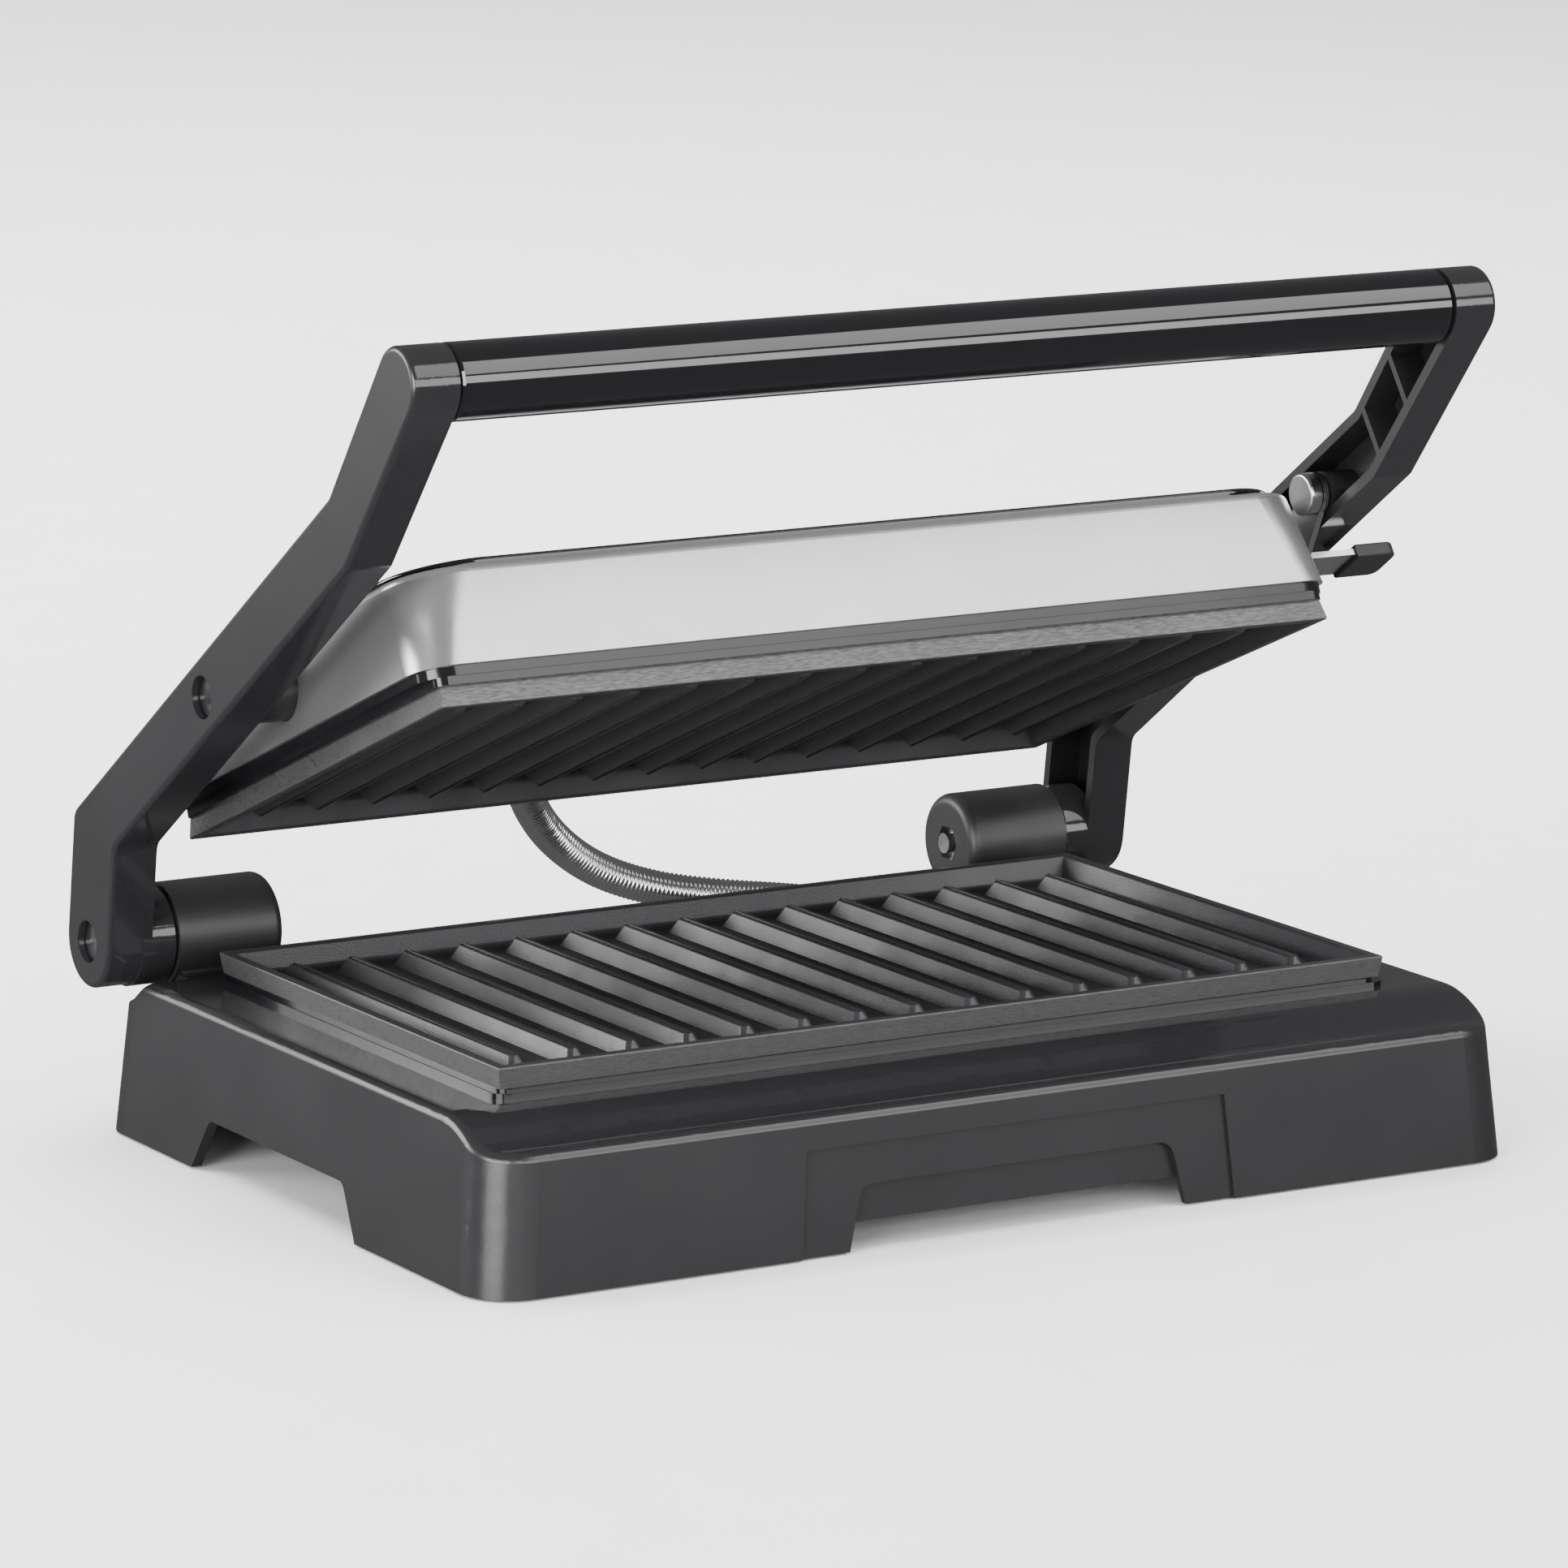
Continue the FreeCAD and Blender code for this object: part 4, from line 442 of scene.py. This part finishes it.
def settle(bm, name, body, replaced, place, material):
    """Turns a drawn bmesh into a piece that rides on body and stands for one CAD node."""
    bmesh.ops.remove_doubles(bm, verts=bm.verts, dist=0.0005)
    bmesh.ops.transform(bm, matrix=INTO_PRESS @ place, verts=bm.verts)
    bmesh.ops.recalc_face_normals(bm, faces=bm.faces)
    mesh = bpy.data.meshes.new(name)
    bm.to_mesh(mesh)
    bm.free()
    mesh.shade_smooth()
    mesh.set_sharp_from_angle(angle=math.radians(SHARP_DEG))
    mesh.materials.append(material)
    piece = bpy.data.objects.new(name, mesh)
    bpy.context.scene.collection.objects.link(piece)
    even = piece.modifiers.new("even_shading", "WEIGHTED_NORMAL")
    even.keep_sharp = True
    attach(piece, body)
    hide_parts(replaced)
    corners = [v.co for v in mesh.vertices]
    size = [round(1000 * (max(c[i] for c in corners) - min(c[i] for c in corners)), 1)
            for i in range(3)]
    print(name, len(mesh.polygons), "faces,", size, "mm")
    return piece


def block(bm, xs, ys, zs):
    """A box between two limits on each axis; returns its corners."""
    middle = Vector([(limits[0] + limits[1]) / 2 for limits in (xs, ys, zs)])
    size = Matrix.Diagonal([abs(limits[1] - limits[0]) for limits in (xs, ys, zs)] + [1])
    return bmesh.ops.create_cube(bm, size=1, matrix=Matrix.Translation(middle) @ size)["verts"]


def round_edges(bm, edges, r, segments):
    """Rounds edges to a radius."""
    bmesh.ops.bevel(bm, geom=list(edges), offset=r, offset_type="OFFSET", affect="EDGES",
                    segments=segments, profile=0.5, material=-1, clamp_overlap=True)


def upright(verts):
    """The edges between these corners that run mostly up."""
    own = {e for v in verts for e in v.link_edges}
    return [e for e in own if all(v in verts for v in e.verts)
            and abs((e.verts[0].co - e.verts[1].co).normalized().z) > 0.6]


def face_towards(bm, direction, level):
    """The widest flat face that looks in a direction, at a height along it."""
    direction = Vector(direction)
    found = [f for f in bm.faces if f.normal.dot(direction) > 0.999
             and abs(f.calc_center_median().dot(direction) - level) < 0.01]
    return max(found, key=lambda f: f.calc_area())


# %% [markdown]
# A cooking plate is a casting, so it has no sharp corner anywhere: the rim, the basin's
# sloped walls and every rib are rounded, and the walls lean so that it leaves its mould. It
# could be one sheet pushed about, but a slab with an inset basin, and one rib that is
# rounded once and copied fifteen times, gives the same casting with clean, even faces.

# %% A ribbed plate, with its rim at height 0
PLATE_W, PLATE_D, FLANGE = 230.0, 134.3, 5.0
PLATE_DRAFT, PLATE_CORNER, RIM = 0.8, 3.0, 2.6
BASIN, BASIN_SLOPE = 5.5, 2.4
BODY_INSET, BODY_H = 3.0, 4.0
RIBS, RIB_PITCH, RIB_H = 15, 14.556, 3.6
RIB_HALF, RIB_TOP_HALF, RIB_END_LEAN = 3.0, 1.3, 2.4
RIB_FRONT, RIB_REAR, RIB_SUNK = 14.0, 9.5, 0.5
RIM_R, FLOOR_R, RIB_SIDE_R, RIB_TOP_R = 0.6, 1.4, 1.4, 0.95


def ribbed_plate():
    """A slab with a sunken basin, a smaller body behind it, and the ribs."""
    bm = bmesh.new()
    corners = block(bm, (-PLATE_W / 2, PLATE_W / 2), (-PLATE_D / 2, PLATE_D / 2), (-FLANGE, 0))
    for v in corners:
        if v.co.z < -1:
            v.co.x -= math.copysign(PLATE_DRAFT, v.co.x)
            v.co.y -= math.copysign(PLATE_DRAFT, v.co.y)
    bm.normal_update()
    top = face_towards(bm, (0, 0, 1), 0)
    bmesh.ops.inset_region(bm, faces=[top], thickness=RIM, use_even_offset=True)
    mouth = list(top.verts)
    bmesh.ops.inset_region(bm, faces=[top], thickness=BASIN_SLOPE, use_even_offset=True)
    bmesh.ops.translate(bm, verts=top.verts, vec=(0, 0, -BASIN))
    outer, inner = upright(corners), upright(mouth + list(top.verts))
    round_edges(bm, outer, PLATE_CORNER, 6)
    round_edges(bm, inner, PLATE_CORNER, 6)
    bm.normal_update()
    back = face_towards(bm, (0, 0, -1), FLANGE)
    bmesh.ops.inset_region(bm, faces=[back], thickness=BODY_INSET, use_even_offset=True)
    body = bmesh.ops.extrude_discrete_faces(bm, faces=[back])["faces"]
    bmesh.ops.translate(bm, verts=body[0].verts, vec=(0, 0, -BODY_H))
    basin_floor = face_towards(bm, (0, 0, 1), -BASIN)
    round_edges(bm, basin_floor.edges, FLOOR_R, 4)
    rims = [e for e in bm.edges if all(abs(v.co.z) < 0.001 for v in e.verts)
            and e.calc_face_angle(0) > 0.3]
    round_edges(bm, rims, RIM_R, 4)
    add_ribs(bm)
    return bm


def add_ribs(bm):
    """One soft rib, rounded and then copied at the pitch; each sinks a little into the floor."""
    first = -(RIBS - 1) / 2 * RIB_PITCH
    y0, y1 = RIB_FRONT - PLATE_D / 2, PLATE_D / 2 - RIB_REAR
    low = -BASIN - RIB_SUNK
    rib = bmesh.new()
    corners = block(rib, (first - RIB_HALF, first + RIB_HALF), (y0, y1), (low, RIB_H - BASIN))
    for v in corners:
        if v.co.z > low + 1:
            v.co.x += math.copysign(RIB_HALF - RIB_TOP_HALF, first - v.co.x)
            v.co.y -= math.copysign(RIB_END_LEAN, v.co.y)
    round_edges(rib, upright(corners), RIB_SIDE_R, 5)
    rib.normal_update()
    top = face_towards(rib, (0, 0, 1), RIB_H - BASIN)
    round_edges(rib, top.edges, RIB_TOP_R, 5)
    rib_mesh = bpy.data.meshes.new("rib")
    rib.to_mesh(rib_mesh)
    rib.free()
    for i in range(RIBS):
        before = set(bm.verts)
        bm.from_mesh(rib_mesh)
        new = [v for v in bm.verts if v not in before]
        bmesh.ops.translate(bm, verts=new, vec=(i * RIB_PITCH, 0, 0))
    bpy.data.meshes.remove(rib_mesh)


# %% The two plates
PLATE_Y = -2.15
LOWER_RIM, UPPER_RIM = 44.1, 44.5
lower_at = Matrix.Translation((0, PLATE_Y, LOWER_RIM))
upper_at = Matrix.Translation((0, PLATE_Y, UPPER_RIM)) @ Matrix.Scale(-1, 4, (0, 0, 1))
settle(ribbed_plate(), "lower_plate", "base", "lower_grill_plate", lower_at,
       LOWER_COATING)
settle(ribbed_plate(), "upper_plate", "upper", "upper_grill_plate",
       WITH_LID @ upper_at, UPPER_COATING)
